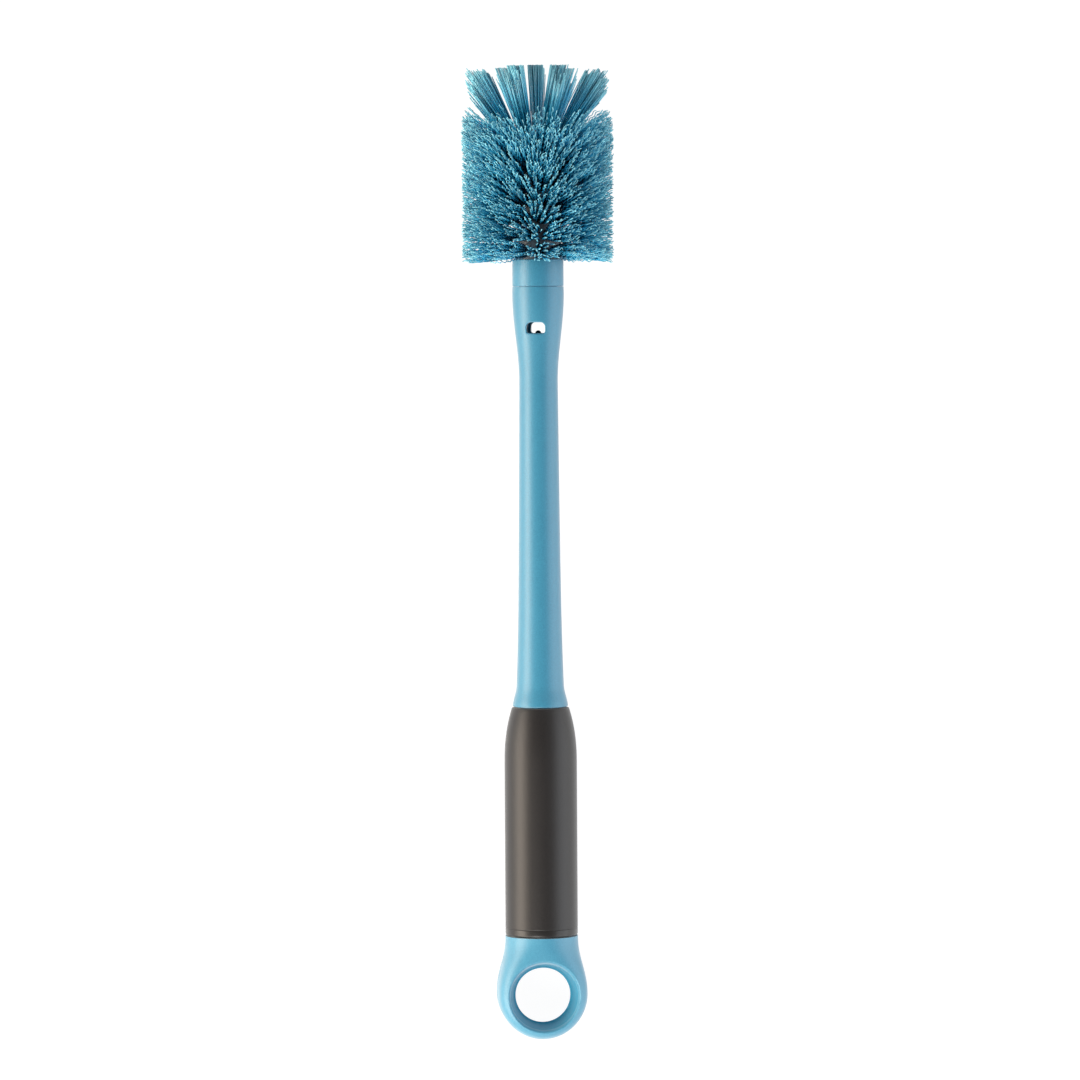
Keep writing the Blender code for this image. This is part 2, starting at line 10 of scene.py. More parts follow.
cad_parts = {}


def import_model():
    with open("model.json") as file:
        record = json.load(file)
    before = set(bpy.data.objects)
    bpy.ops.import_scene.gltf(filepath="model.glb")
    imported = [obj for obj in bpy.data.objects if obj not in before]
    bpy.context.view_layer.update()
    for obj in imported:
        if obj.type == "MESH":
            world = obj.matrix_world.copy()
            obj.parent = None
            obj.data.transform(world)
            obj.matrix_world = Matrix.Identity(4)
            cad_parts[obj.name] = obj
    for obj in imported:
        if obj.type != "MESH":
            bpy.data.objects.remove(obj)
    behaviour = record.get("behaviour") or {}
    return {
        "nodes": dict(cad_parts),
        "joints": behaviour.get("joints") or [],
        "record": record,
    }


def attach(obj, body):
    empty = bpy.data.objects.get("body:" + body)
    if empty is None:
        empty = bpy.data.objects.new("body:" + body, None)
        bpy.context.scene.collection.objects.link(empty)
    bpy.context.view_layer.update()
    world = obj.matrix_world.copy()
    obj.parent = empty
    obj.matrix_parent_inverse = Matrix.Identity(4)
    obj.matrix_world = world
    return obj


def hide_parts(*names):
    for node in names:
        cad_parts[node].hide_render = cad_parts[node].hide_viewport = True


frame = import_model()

# Finished look of a bottle brush: every piece is drawn upright along its own axis, with its
# height counted from the lowest point of the hanging loop, then laid down where the frame has it.

MM = 0.001
FULL_TURN = math.tau
GAP = 0.3 * MM

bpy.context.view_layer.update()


# Place of the brush in the frame

Extent = namedtuple("Extent", "low high radius")


def named(items, name):
    return next(item for item in items if item["name"] == name)


AXIS = Vector(named(frame["joints"], "handle_pull_off")["axis"]).normalized()
REST_TILT = math.atan2(AXIS.z, AXIS.y)
LOOP_RADIUS = 16.05 * MM
LOOP_CENTRE = LOOP_RADIUS
HOLE_MIDDLE = Vector(named(frame["record"]["mounts"], "hanging_loop")["pos_m"])
LAID_DOWN = (
    Matrix.Translation(HOLE_MIDDLE - AXIS * LOOP_CENTRE)
    @ Matrix.Rotation(REST_TILT - math.pi / 2, 4, "X")
)


def extent(node):
    """Lowest and highest point of a node along the brush's axis, and its radius round it."""
    mesh = frame["nodes"][node].data
    points = np.empty(len(mesh.vertices) * 3)
    mesh.vertices.foreach_get("co", points)
    upright = np.array(LAID_DOWN.inverted())
    points = points.reshape(-1, 3) @ upright[:3, :3].T + upright[:3, 3]
    radius = float(np.hypot(points[:, 0], points[:, 1]).max())
    return Extent(float(points[:, 2].min()), float(points[:, 2].max()), radius)


CAP = extent("loop_cap")
GRIP = extent("grip")
SHAFT = extent("shaft")
HEAD_CORE = extent("head_core")
CROWN = extent("crown_bristles")
SEAL = extent("seal_ring")
STEM = extent("straw_brush_stem")
STRAW_BRISTLES = extent("straw_brush_bristles")
STRAW_TIP = extent("straw_brush_tip")


# Sizes

FINE_EDGE = 0.1 * MM
SOFT_EDGE = 0.2 * MM
ROUND_EDGE = 0.5 * MM
SHARP_ANGLE = math.radians(40)  # between two faces, above which their edge shows
EASE_LIMIT = 0.48  # share of a side that one rounded corner may take
TINY = 1e-9  # counts as nothing

SEAM = GRIP.low - GAP
CAP_SEAM_RADIUS = 13.05 * MM
CAP_BLEND_LEAD = 1.0 * MM  # below the hole's centre, where the sides start to draw in
CAP_BLEND_LENGTH = 22.3 * MM
LOOP_DROP = 0.25 * MM  # of the loop's lowest point under a round outline
CREST_RADIUS = 13.1 * MM
CREST_EASE = 0.35 * MM
FLARE_DEPTH = 7.5 * MM  # from the crest to the hole's narrowest ring
HOLE_RADIUS = 9.85 * MM
HOLE_DROP = 0.3 * MM  # of the hole under the round outline's centre
HOLE_RING_EASE = 0.15 * MM
BACK_WALL_RADIUS = 12.0 * MM
BACK_WALL_END = 1.2 * MM
PLAIN_WALL_DEPTH = 2.8 * MM  # under the loop's face, where the hole's plain wall starts
SKIN_SAMPLES = 80
SKIN_POINTS = 26
FLARE_STEPS = 20
CAP_SIDE_STEPS = 150
HALVINGS = 50  # of the stretch in which the cap's outline is sought
MERGE_DISTANCE = 0.0005 * MM
CAP_EDGE = 0.3 * MM
PLUG_RADIUS = 8.0 * MM
PLUG_CHAMFER = 0.8 * MM
SEAL_SECTION = 2.0 * MM
SEAL_CLEARANCE = 0.15 * MM
SEAL_SIDE_PLAY = 0.3 * MM
SEAL_STEPS = 20
STEM_SEAT_DEPTH = 12.0 * MM

GRIP_RADIUS = GRIP.radius + 0.12 * MM
GRIP_TOP_RADIUS = 10.25 * MM
GRIP_SHOULDER_LENGTH = 20.0 * MM
GRIP_SHOULDER_POWER = 2.3
GRIP_FOOT_EASE = 0.75 * MM
GRIP_TOP_EASE = 0.35 * MM
GRIP_TOP_EDGE = 0.7 * MM  # below the grip's top, where its rounded edge starts
GRIP_WALL = 2.2 * MM
GRIP_BAND = 2.5 * MM
GRIP_STEP_DEPTH = 0.14 * MM
GRIP_STEP_WIDTH = 0.3 * MM
GRIP_STEP_FALL = 0.09 * MM  # height over which the step sinks to its full depth
GRIP_STEP_EASE = 0.05 * MM
GRIP_STEP_END_EASE = 0.12 * MM

SHOULDER_DIAMETER = 19.9 * MM
SHOULDER_STEP = 2.2 * MM
COVE_LENGTH = 7.7 * MM
FOOT_BEAD = 0.6 * MM
FOOT_GROOVE = 0.4 * MM
ROOT_SWELL = 1.9 * MM
ROOT_SWELL_POWER = 5.5
WAIST_DIAMETER = 13.8 * MM
FLARE_LENGTH = 32.0 * MM
FLARE_DIAMETER = 18.5 * MM
RIM_LENGTH = 2.3 * MM
RIM_EDGE = 0.4 * MM  # below the shaft's top, where its rounded edge starts
COLLAR_DIAMETER = 18.35 * MM
MOUTH_BORE_RADIUS = 8.3 * MM
SEAT_BORE_RADIUS = 6.2 * MM
WAIST_BORE_RADIUS = 5.15 * MM
SEAT_CONE_LENGTH = 6.0 * MM
CHAMBER_RADIUS = 6.2 * MM
CHAMBER_CONE_LENGTH = 12.0 * MM
SOCKET_RADIUS = 7.1 * MM
WAIST = SHAFT.high - RIM_LENGTH - FLARE_LENGTH

WINDOW_WIDTH = 7.5 * MM  # over its rounded rim
WINDOW_HEIGHT = 4.7 * MM
WINDOW_DROP = 14.75 * MM
WINDOW_TOP_RADIUS = 1.6 * MM
WINDOW_BOTTOM_RADIUS = 0.8 * MM
WINDOW_FILLET = 0.4 * MM
WINDOW_TURN = math.radians(12)
WINDOW_SILL = SHAFT.high - WINDOW_DROP - WINDOW_HEIGHT / 2

HEAD_PLUG_RADIUS = 6.8 * MM
COLLAR_SEAM = 0.04 * MM
COLLAR_GROOVE_DEPTH = 0.28 * MM
COLLAR_GROOVE_HEIGHT = 0.224 * MM
COLLAR_GROOVE_EASE = 0.06 * MM
COLLAR_TOP_RISE = 0.05 * MM  # from the collar's outer edge in to the core
COLLAR_LENGTH = 9.4 * MM
COLLAR_TOP = SHAFT.high + GAP + COLLAR_LENGTH
CORE_RADIUS = 8.5 * MM
CORE_BOTTOM = COLLAR_TOP + GAP
DOME_HEIGHT = 8.0 * MM
DOME_SKIRT = 1.8 * MM
DOME_SKIRT_EASE = 1.2 * MM
DOME_TOP_RADIUS = 3.4 * MM
DOME_TOP_EASE = 1.6 * MM
DOME_TOP = CROWN.low + DOME_HEIGHT

ROW_COUNT = 7
ROW_PITCH = 5.45 * MM
TUFTS_PER_ROW = 10
HEAD_RADIUS = 27.0 * MM
FIRST_TIP_DROP = 0.6 * MM
TIP_PITCH = 8.0 * MM
SIDE_FILAMENTS = 54  # in each tuft
SIDE_CLUMPS = 18
SIDE_PULL = 0.25  # share of the way by which a filament is drawn to its clump
SIDE_SCATTER = 0.13  # of a filament's tip, as a share of its tuft's fan
SIDE_ROOT_SPREAD = 1.4 * MM
LOWEST_ROOT_FALL = 2.4 * MM
SIDE_FAN_BOW = 0.1  # share of a filament's slant by which its middle bows out
SIDE_TIP_SPREAD = 7.2 * MM
SIDE_TIP_RISE = 4.5 * MM
LOWEST_TIP_FALL = 3.2 * MM
TRIM_RAGGED = 0.22 * MM  # of the side filaments' cut ends, in and out
TRIM_LIMITS = (-0.8 * MM, 0.45 * MM)
SHORT_SHARE = 0.06  # of the filaments that end short of the trimmed face
SHORT_LIMITS = (0.5 * MM, 3.0 * MM)
UNDERSIDE_COSINE = -0.8  # of the angle from the loop's face, on the side towards the table
UNDERSIDE_CLEARANCE = 0.05 * MM
CLUMP_SHARE = 0.6  # of a filament's tone that its whole clump shares
STRAND_SIDES = 4
FILAMENT_RADIUS = 0.2 * MM
FILAMENT_START = 1.0 * MM  # how deep a filament starts under the core's surface
FILAMENT_BOW = 0.35 * MM
CRIMP_PERIOD = 3.2 * MM
CRIMP_PERIOD_RANGE = (0.88, 1.14)
CRIMP_SWING = 0.34 * MM
CRIMP_SWING_RANGE = (0.7, 1.2)
CRIMP_START = 4.0 * MM
CRIMP_RAMP = 2.0 * MM
CRIMP_STEPS = 32
TOP_ROW_DROP = 2.0 * MM
TOP_ROW_RAGGED = 1.3 * MM
TOP_ROW_ROUNDING = 1.6 * MM

CROWN_AZIMUTHS = (13, 60, 98, 148, 175, 202, 250, 290, 336)  # degrees from the loop's face
CROWN_FILAMENTS = 90
CROWN_CLUMPS = 18
CROWN_PULL = 0.4
CROWN_SCATTER = 0.08
CROWN_STEPS = 7
CROWN_TILT = math.radians(32.5)
CROWN_TILT_SPREAD = math.radians(7.5)
CROWN_SIDE_TILT = math.radians(2.0)  # more for the tufts on the left and right
CROWN_ROOT_RADIUS = 7.3 * MM
CROWN_ROOT_SPREAD = 1.2 * MM
CROWN_TIP_SPREAD = 3.4 * MM
CROWN_REACH = 27.0 * MM
CROWN_TOP_RAGGED = 0.35 * MM
CROWN_SIDE_RAGGED = 5.0 * MM  # of the trimmed top towards the loop's left and right
CROWN_SIDE_FALL = 0.8 * MM
CROWN_FRONT_FALL = 0.8 * MM
# Where the crown's strands start on the nylon's ramp of painted root shade and painted tip light; above
# 0 they skip its darkest part.
CROWN_PAINTED_SHADE_START = 0.5
CROWN_CONTRAST = 2.0
CROWN_TONE_START = 0.2
MIDDLE_PULL = 0.3
MIDDLE_RAGGED = 0.2 * MM
MIDDLE_TIP_SPREAD = 2.9 * MM
MIDDLE_LEAN = 0.5 * MM
MIDDLE_PAINTED_SHADE = 0.35  # painted shade: the middle tuft darker than the rest of the crown, as the ring of tufts shades it

WIRE_RADIUS = 0.5 * MM
WIRE_PITCH = 5.0 * MM
WIRE_STEPS = 12  # in each turn of the twist
WIRE_SIDES = 8
WIRE_SHARP_ANGLE = math.radians(60)
STRAW_FILAMENTS = 1500
STRAW_FILAMENT_RADIUS = 0.09 * MM
STRAW_TAPER = 7.0 * MM
STRAW_STEPS = 3
STRAW_SCATTER = 0.45  # radians off the screw line
STRAW_TWIST = 0.05  # radians from root to tip
STRAW_LEAN = 0.25 * MM
STRAW_RAGGED = 0.12 * MM
TIP_WALL_STEP = 3.3 * MM
TIP_NOSE_RADIUS = 1.1 * MM
TIP_NOSE_LENGTH = 2.0 * MM
TIP_BORE_EASE = 0.08 * MM
TIP_SLEEVE_EASE = 0.12 * MM
TIP_STEPS = 48

ROUND_STEPS = 96
GOLDEN_ANGLE = math.pi * (3 - math.sqrt(5))
SEED = 7
STRAW_SEED = 27


# Shapes

def half_wave(share):
    """Ease from 0 to 1 with level ends."""
    return (1 - math.cos(math.pi * share)) / 2


def soft_step(share):
    """Ease from 0 to 1 with level, uncurved ends."""
    t = min(max(share, 0.0), 1.0)
    return t * t * t * (10 - 15 * t + 6 * t * t)


def spread(first, last, steps):
    """Evenly spaced values from first to last, both included."""
    return [first + (last - first) * step / steps for step in range(steps + 1)]


def drawn(radius_at, low, high, steps, wall=0.0):
    """Points (radius, height) of a turned outline that follow a rule, set in by a wall."""
    return [(radius_at(height) - wall, height) for height in spread(low, high, steps)]


def eased(corners, steps=4):
    """An outline through corners (x, y, ease): each corner is cut back by its ease and rounded."""
    outline = []
    for index, (x, y, ease) in enumerate(corners):
        corner = Vector((x, y))
        if ease == 0 or index in (0, len(corners) - 1):
            outline.append(corner)
            continue
        before = Vector(corners[index - 1][:2]) - corner
        after = Vector(corners[index + 1][:2]) - corner
        start = corner + before.normalized() * min(ease, before.length * EASE_LIMIT)
        end = corner + after.normalized() * min(ease, after.length * EASE_LIMIT)
        for t in spread(0, 1, steps):
            outline.append(start * (1 - t) ** 2 + corner * 2 * t * (1 - t) + end * t * t)
    return [(point.x, point.y) for point in outline]


def resampled(outline, count):
    """The outline as count points, evenly spaced along it."""
    points = np.array(outline)
    lengths = np.hypot(*np.diff(points, axis=0).T)
    travelled = np.concatenate([[0], np.cumsum(lengths)])
    wanted = np.linspace(0, travelled[-1], count)
    return np.stack([np.interp(wanted, travelled, points[:, axis]) for axis in range(2)], 1)


def ring_points(radius, height, angles):
    return [(radius * math.sin(a), -radius * math.cos(a), height) for a in angles]


def add_object(name, data):
    item = bpy.data.objects.new(name, data)
    bpy.context.collection.objects.link(item)
    return item


def place(name, mesh, material, body, slot, *nodes):
    """Put a finished mesh into the scene, laid down on its body, for the nodes it stands for."""
    piece = add_object(name, mesh)
    piece.matrix_world = LAID_DOWN
    mesh.materials.append(material)
    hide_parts(*nodes)
    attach(piece, body)
    return piece


def finish_mesh(name, work, sharp_angle=SHARP_ANGLE):
    bmesh.ops.recalc_face_normals(work, faces=work.faces)
    mesh = bpy.data.meshes.new(name)
    work.to_mesh(mesh)
    work.free()
    mesh.shade_smooth()
    mesh.set_sharp_from_angle(angle=sharp_angle)
    return mesh


def bridge(work, near, far):
    """Faces between two closed rings, either of which may be a single point."""
    count = max(len(near), len(far))
    for index in range(count):
        after = (index + 1) % count
        corners = (near[index % len(near)], near[after % len(near)],
                   far[after % len(far)], far[index % len(far)])
        work.faces.new(list(dict.fromkeys(corners)))


def join_tube(work, rings):
    """Faces along rings and over both ends."""
    for near, far in zip(rings, rings[1:]):
        bridge(work, near, far)
    work.faces.new(rings[0])
    work.faces.new(rings[-1])


def add_rings(work, profile, angles, previous=None):
    """Rings of vertices up a turned profile, joined by faces; radius 0 closes to a point."""
    for radius, height in profile:
        points = [(0, 0, height)] if radius < TINY else ring_points(radius, height, angles)
        ring = [work.verts.new(point) for point in points]
        if previous:
            bridge(work, previous, ring)
        previous = ring
    return previous


def turned(name, profile, steps=ROUND_STEPS):
    """A mesh turned round the brush's axis. An open profile starts and ends on the axis."""
    work = bmesh.new()
    angles = spread(0, FULL_TURN, steps)[:-1]
    if profile[0][0] < TINY:
        add_rings(work, profile, angles)
    else:
        first = [work.verts.new(point) for point in ring_points(*profile[0], angles)]
        bridge(work, add_rings(work, profile[1:], angles, first), first)
    return finish_mesh(name, work)


# Materials

def linear(value):
    value /= 255
    return value / 12.92 if value <= 0.04045 else ((value + 0.055) / 1.055) ** 2.4


def colour(red, green, blue):
    return (linear(red), linear(green), linear(blue), 1)


HANDLE_BLUE = (colour(22, 129, 163), colour(40, 146, 179), colour(52, 153, 185))
# The cap is the handle's blue plastic; these tones are lighter than the handle's as painted light, for
# the extra light that the cap catches.
CAP_BLUE_PAINTED_LIGHTER = (colour(48, 141, 174), colour(66, 157, 188), colour(76, 163, 194))
GRAIN_LOW = 0.3  # most of a noise pattern lies between these two
GRAIN_HIGH = 0.7


def give(tree, sockets, inputs):
    """Gives sockets, by name or number, plain values or other nodes' outputs."""
    for name, given in inputs.items():
        if isinstance(given, bpy.types.NodeSocket):
            tree.links.new(given, sockets[name])
        else:
            sockets[name].default_value = given


def add_node(tree, kind, inputs):
    node = tree.nodes.new("ShaderNode" + kind)
    give(tree, node.inputs, inputs)
    return node


def colour_ramp(tree, value, *stops):
    """Colours at given positions of a value."""
    node = add_node(tree, "ValToRGB", {"Fac": value})
    elements = node.color_ramp.elements
    while len(elements) < len(stops):
        elements.new(0.5)
    for element, (position, shade) in zip(elements, stops):
        element.position = position
        element.color = shade
    return node.outputs["Color"]


class Finish:
    """A material with short calls for its nodes."""

    def __init__(self, name, specular=0.5, metallic=0.0):
        self.material = bpy.data.materials.new(name)
        self.material.use_nodes = True
        self.tree = self.material.node_tree
        self.place = self.add("TexCoord", {}).outputs["Object"]
        self.use({"Specular IOR Level": specular, "Metallic": metallic})

    def add(self, kind, inputs):
        return add_node(self.tree, kind, inputs)

    def use(self, inputs):
        """Gives the shader plain values or other nodes' outputs."""
        give(self.tree, self.tree.nodes["Principled BSDF"].inputs, inputs)

    def bloom(self, weight, roughness):
        """Soft brightening where a fine-grained surface turns away."""
        self.use({"Sheen Weight": weight, "Sheen Roughness": roughness})

    def noise(self, feature, detail=2.0, roughness=0.5, stretch=1.0):
        """Cloudy pattern between 0 and 1 with features of that real size, drawn out along the brush."""
        place = self.add("Mapping", {"Vector": self.place, "Scale": (1, 1, 1 / stretch)})
        look = {"Scale": 1 / feature, "Detail": detail, "Roughness": roughness}
        return self.add("TexNoise", {"Vector": place.outputs["Vector"], **look}).outputs["Fac"]

    def attribute(self, name):
        node = self.add("Attribute", {})
        node.attribute_name = name
        return node.outputs["Fac"]

    def mapped(self, value, low, high, from_low=GRAIN_LOW, from_high=GRAIN_HIGH):
        limits = {"From Min": from_low, "From Max": from_high, "To Min": low, "To Max": high}
        return self.add("MapRange", {"Value": value, **limits}).outputs["Result"]

    def mixed(self, share, first, second, kind="RGBA"):
        """Two colours or numbers, given or linked, mixed by a linked share."""
        node = self.add("Mix", {})
        node.data_type = kind
        enabled = {socket.name: socket for socket in node.inputs if socket.enabled}
        give(self.tree, enabled, {"Factor": share, "A": first, "B": second})
        return next(socket for socket in node.outputs if socket.enabled)

    def above(self, height, blur=0.1 * MM):
        """0 below a height along the brush, 1 above it."""
        split = self.add("SeparateXYZ", {"Vector": self.place})
        return self.mapped(split.outputs["Z"], 0, 1, height, height + blur)

    def bump(self, height, depth):
        node = self.add("Bump", {"Height": height, "Distance": depth, "Strength": 1.0})
        return node.outputs["Normal"]

    def two_tone(self, grain, dark, pale):
        """A dark and a pale colour that follow one grain."""
        return colour_ramp(self.tree, grain, (GRAIN_LOW, dark), (GRAIN_HIGH, pale))

    def follow(self, grain, dark, pale, roughness):
        """Colour and roughness that both follow one grain."""
        self.use({
            "Base Color": self.two_tone(grain, dark, pale),
            "Roughness": self.mapped(grain, *roughness),
        })


def blue_plastic(name, tones, sheen, specular=1.0, core_from=None):
    """Satin moulded plastic with a fine spark-eroded grain, grey above a height if one is given."""
    finish = Finish(name, specular)
    finish.bloom(sheen, 0.5)
    grain = finish.noise(0.42 * MM, detail=3)
    clouds = finish.noise(14 * MM)
    base = finish.two_tone(grain, tones[0], tones[1])
    base = finish.mixed(finish.mapped(clouds, 0.0, 0.12), base, tones[2])
    if core_from is not None:
        core = finish.two_tone(grain, colour(78, 96, 110), colour(94, 112, 126))
        base = finish.mixed(finish.above(core_from), base, core)
    finish.use({
        "Base Color": base,
        "Roughness": finish.mapped(grain, 0.38, 0.46),
        "Normal": finish.bump(grain, 0.014 * MM),
    })
    return finish.material


def grip_rubber():
    """Soft-touch elastomer with a fine matte grain, smooth on the band at its lower end."""
    finish = Finish("soft_grip_rubber", specular=0.6)
    finish.bloom(0.4, 0.4)
    grain = finish.noise(0.38 * MM, detail=3, roughness=0.6)
    clouds = finish.noise(9 * MM)
    sleeve = finish.above(GRIP.low + GRIP_BAND)
    base = finish.two_tone(grain, colour(14, 10, 8), colour(28, 22, 19))
    base = finish.mixed(finish.mapped(clouds, 0.0, 0.2), base, colour(24, 20, 17))
    matte = finish.mapped(grain, 0.38, 0.46)
    finish.use({
        "Base Color": finish.mixed(sleeve, colour(22, 18, 15), base),
        "Roughness": finish.mixed(sleeve, 0.32, matte, "FLOAT"),
        "Normal": finish.bump(grain, 0.03 * MM),
    })
    return finish.material


def bristle_nylon():
    """Translucent nylon filament: deep teal towards its root as painted shade deep between the tufts,
    pale where it was cut as painted light on the tips.
    """
    finish = Finish("bristle_nylon", specular=0.6)
    along = finish.attribute("along")
    tone = finish.attribute("tone")
    # Painted shade towards the root and painted highlight towards the tip, set by the share along the
    # filament. The tone mix below darkens each clump by a random tone, and darkens the crown's middle
    # tuft further with painted shade.
    shade = colour_ramp(
        finish.tree, along,
        (0.0, colour(1, 20, 34)),
        (0.45, colour(8, 88, 124)),
        (0.75, colour(62, 202, 244)),
        (1.0, colour(160, 240, 255)),
    )
    deep = finish.mapped(tone, 0.0, 0.7, from_low=0.25, from_high=1.0)
    shade = finish.mixed(deep, shade, colour(10, 84, 116))
    haze = finish.noise(1.2 * MM)
    finish.use({"Base Color": shade, "Roughness": finish.mapped(haze, 0.18, 0.3)})
    return finish.material


def seal_rubber():
    """Smooth dark rubber of the ring in the plug's groove."""
    finish = Finish("seal_rubber")
    grain = finish.noise(0.5 * MM)
    finish.follow(grain, colour(30, 30, 32), colour(44, 44, 46), (0.42, 0.58))
    finish.use({"Normal": finish.bump(grain, 0.01 * MM)})
    return finish.material


def steel_wire():
    """Bright drawn stainless wire with faint lines along it."""
    finish = Finish("stainless_wire", metallic=1.0)
    lines = finish.noise(0.15 * MM, stretch=20)
    finish.follow(lines, colour(165, 169, 173), colour(192, 196, 199), (0.2, 0.36))
    finish.use({"Normal": finish.bump(lines, 0.004 * MM)})
    return finish.material


def tip_plastic():
    """Dark smooth plastic of the straw brush's cap."""
    finish = Finish("dark_tip_plastic")
    grain = finish.noise(0.6 * MM)
    finish.follow(grain, colour(20, 38, 48), colour(30, 52, 63), (0.32, 0.46))
    return finish.material


# Loop cap

CapFace = namedtuple("CapFace", "half power")
FRONT = CapFace(12.5 * MM, 4.5)
BACK = CapFace(12.6 * MM, 4.0)


def cap_half_width(height):
    """Half width of the cap above the hole's centre, from the loop to the round seam."""
    start = LOOP_CENTRE - CAP_BLEND_LEAD
    full = soft_step((SEAM - start) / CAP_BLEND_LENGTH)
    weight = soft_step((height - start) / CAP_BLEND_LENGTH) / full
    return LOOP_RADIUS + (CAP_SEAM_RADIUS - LOOP_RADIUS) * weight


def loop_reach(angle):
    """Distance from the hole's axis to the loop's outline in its lower half."""
    return LOOP_RADIUS + LOOP_DROP * math.cos(angle) ** 4


def floor_depth(height):
    """Distance from the cap's middle plane down to the floor that the brush lies on."""
    return (LAID_DOWN @ Vector((0, 0, height))).z / math.cos(REST_TILT)


def cap_depth(x, height, face):
    """Depth of the cap's skin from its middle plane: a rounded section, a circle at the seam."""
    if height <= LOOP_CENTRE:
        reach = math.hypot(x, height - LOOP_CENTRE)
        share = min(reach / loop_reach(math.atan2(x, height - LOOP_CENTRE)), 1.0)
        way = 0.0
    else:
        share = min(abs(x) / cap_half_width(height), 1.0)
        way = min((height - LOOP_CENTRE) / (SEAM - LOOP_CENTRE), 1.0)
    power = 2 + (face.power - 2) * half_wave(1 - way)
    half = face.half + (CAP_SEAM_RADIUS - face.half) * soft_step(way)
    depth = half * (1 - share ** power) ** (1 / power)
    return min(depth, floor_depth(height)) if face is BACK else depth


def skin_end(angle):
    """Distance from the hole's axis to the cap's outline, or to its seam, at an angle from up."""
    rise = math.cos(angle)
    aside = abs(math.sin(angle))
    if rise < TINY:
        return loop_reach(angle)
    low, high = 0.0, (SEAM - LOOP_CENTRE) / rise
    if high * aside <= CAP_SEAM_RADIUS * (1 + TINY):
        return high
    for _ in range(HALVINGS):
        middle = (low + high) / 2
        inside = middle * aside < cap_half_width(min(LOOP_CENTRE + middle * rise, SEAM))
        low, high = (middle, high) if inside else (low, middle)
    return (low + high) / 2


def lowered(radius, angle):
    """Distance from the outline's centre to a ring round the hole, which sits a little lower."""
    return radius - HOLE_DROP * math.cos(angle)


def skin_line(angle, face):
    """The cap's skin from the crest round its hole out to its edge, as (reach, depth)."""
    start = lowered(CREST_RADIUS, angle)
    end = skin_end(angle)
    line = []
    for share in spread(0, 1, SKIN_SAMPLES):
        reach = start + (end - start) * (1 - (1 - share) ** 3)
        x = reach * math.sin(angle)
        line.append((reach, cap_depth(x, LOOP_CENTRE + reach * math.cos(angle), face)))
    return resampled(line, SKIN_POINTS)


def cap_meridian(angle):
    """Section through the cap in a plane through the hole's axis, as (reach, depth)."""
    front = skin_line(angle, FRONT)
    back = skin_line(angle, BACK) * np.array([1, -1])
    crest = front[0][1]
    ring = crest - FLARE_DEPTH
    flare = []
    for share in spread(0, 1, FLARE_STEPS)[:-1]:
        radius = CREST_RADIUS + (HOLE_RADIUS - CREST_RADIUS) * share
        flare.append((lowered(radius, angle), crest - FLARE_DEPTH * half_wave(share), 0))
    corners = [
        (*front[1], 0),
        *flare,
        (lowered(HOLE_RADIUS, angle), ring, HOLE_RING_EASE),
        (lowered(BACK_WALL_RADIUS, angle), back[0][1] + BACK_WALL_END, CREST_EASE),
        (*back[0], CREST_EASE),
        (*back[1], 0),
    ]
    return np.concatenate([front[:1:-1], eased(corners), back[2:]])


def loop_cap():
    """Hanging loop, neck and plug in one skin: a grid round the hole, closed by turned rings.

    The faces of the hole's plain wall take the cap's second material.
    """
    half_seam = spread(-math.pi / 2, math.pi / 2, ROUND_STEPS // 2)
    rise = SEAM - LOOP_CENTRE
    seam_angles = [math.atan2(CAP_SEAM_RADIUS * math.sin(a), rise) for a in half_seam]
    corner = seam_angles[-1]
    side_angles = spread(corner, FULL_TURN - corner, CAP_SIDE_STEPS)[1:-1]
    work = bmesh.new()
    columns = []
    for angle in seam_angles + side_angles:
        column = []
        for reach, depth in cap_meridian(angle):
            x = reach * math.sin(angle)
            column.append(work.verts.new((x, -depth, LOOP_CENTRE + reach * math.cos(angle))))
        columns.append(column)
    for column, after in zip(columns, columns[1:] + columns[:1]):
        for corners in zip(column, column[1:], after[1:], after):
            work.faces.new(corners)
    seam_columns = columns[:len(seam_angles)]
    ring = [column[0] for column in seam_columns[:-1]]
    ring += [column[-1] for column in reversed(seam_columns[1:])]
    azimuths = [math.atan2(v.co.x, -v.co.y) for v in ring]
    groove_radius = SEAL.radius - SEAL_SECTION - SEAL_CLEARANCE
    groove_low = SEAL.low - SEAL_SIDE_PLAY
    groove_high = SEAL.high + SEAL_SIDE_PLAY
    seat = STEM.radius + GAP
    profile = eased([
        (CAP_SEAM_RADIUS - CAP_EDGE, SEAM, 0),
        (PLUG_RADIUS, SEAM, SOFT_EDGE),
        (PLUG_RADIUS, groove_low, FINE_EDGE),
        (groove_radius, groove_low, FINE_EDGE),
        (groove_radius, groove_high, FINE_EDGE),
        (PLUG_RADIUS, groove_high, FINE_EDGE),
        (PLUG_RADIUS, CAP.high - PLUG_CHAMFER, SOFT_EDGE),
        (PLUG_RADIUS - PLUG_CHAMFER, CAP.high, SOFT_EDGE),
        (seat, CAP.high, FINE_EDGE),
        (seat, CAP.high - STEM_SEAT_DEPTH, 0),
        (0, CAP.high - STEM_SEAT_DEPTH, 0),
    ], 2)
    add_rings(work, profile, azimuths, ring)
    bmesh.ops.remove_doubles(work, verts=work.verts, dist=MERGE_DISTANCE)
    for face in work.faces:
        x, y, height = face.calc_center_median()
        in_hole = math.hypot(x, height - LOOP_CENTRE) < CREST_RADIUS
        if in_hole and -y < FRONT.half - PLAIN_WALL_DEPTH:
            face.material_index = 1
    return finish_mesh("loop_cap_skin", work)


def seal_ring():
    section = SEAL_SECTION / 2
    middle = (SEAL.low + SEAL.high) / 2
    profile = []
    for turn in spread(0, FULL_TURN, SEAL_STEPS)[:-1]:
        reach = SEAL.radius - section + section * math.cos(turn)
        profile.append((reach, middle + section * math.sin(turn)))
    return turned("seal_ring_body", profile)


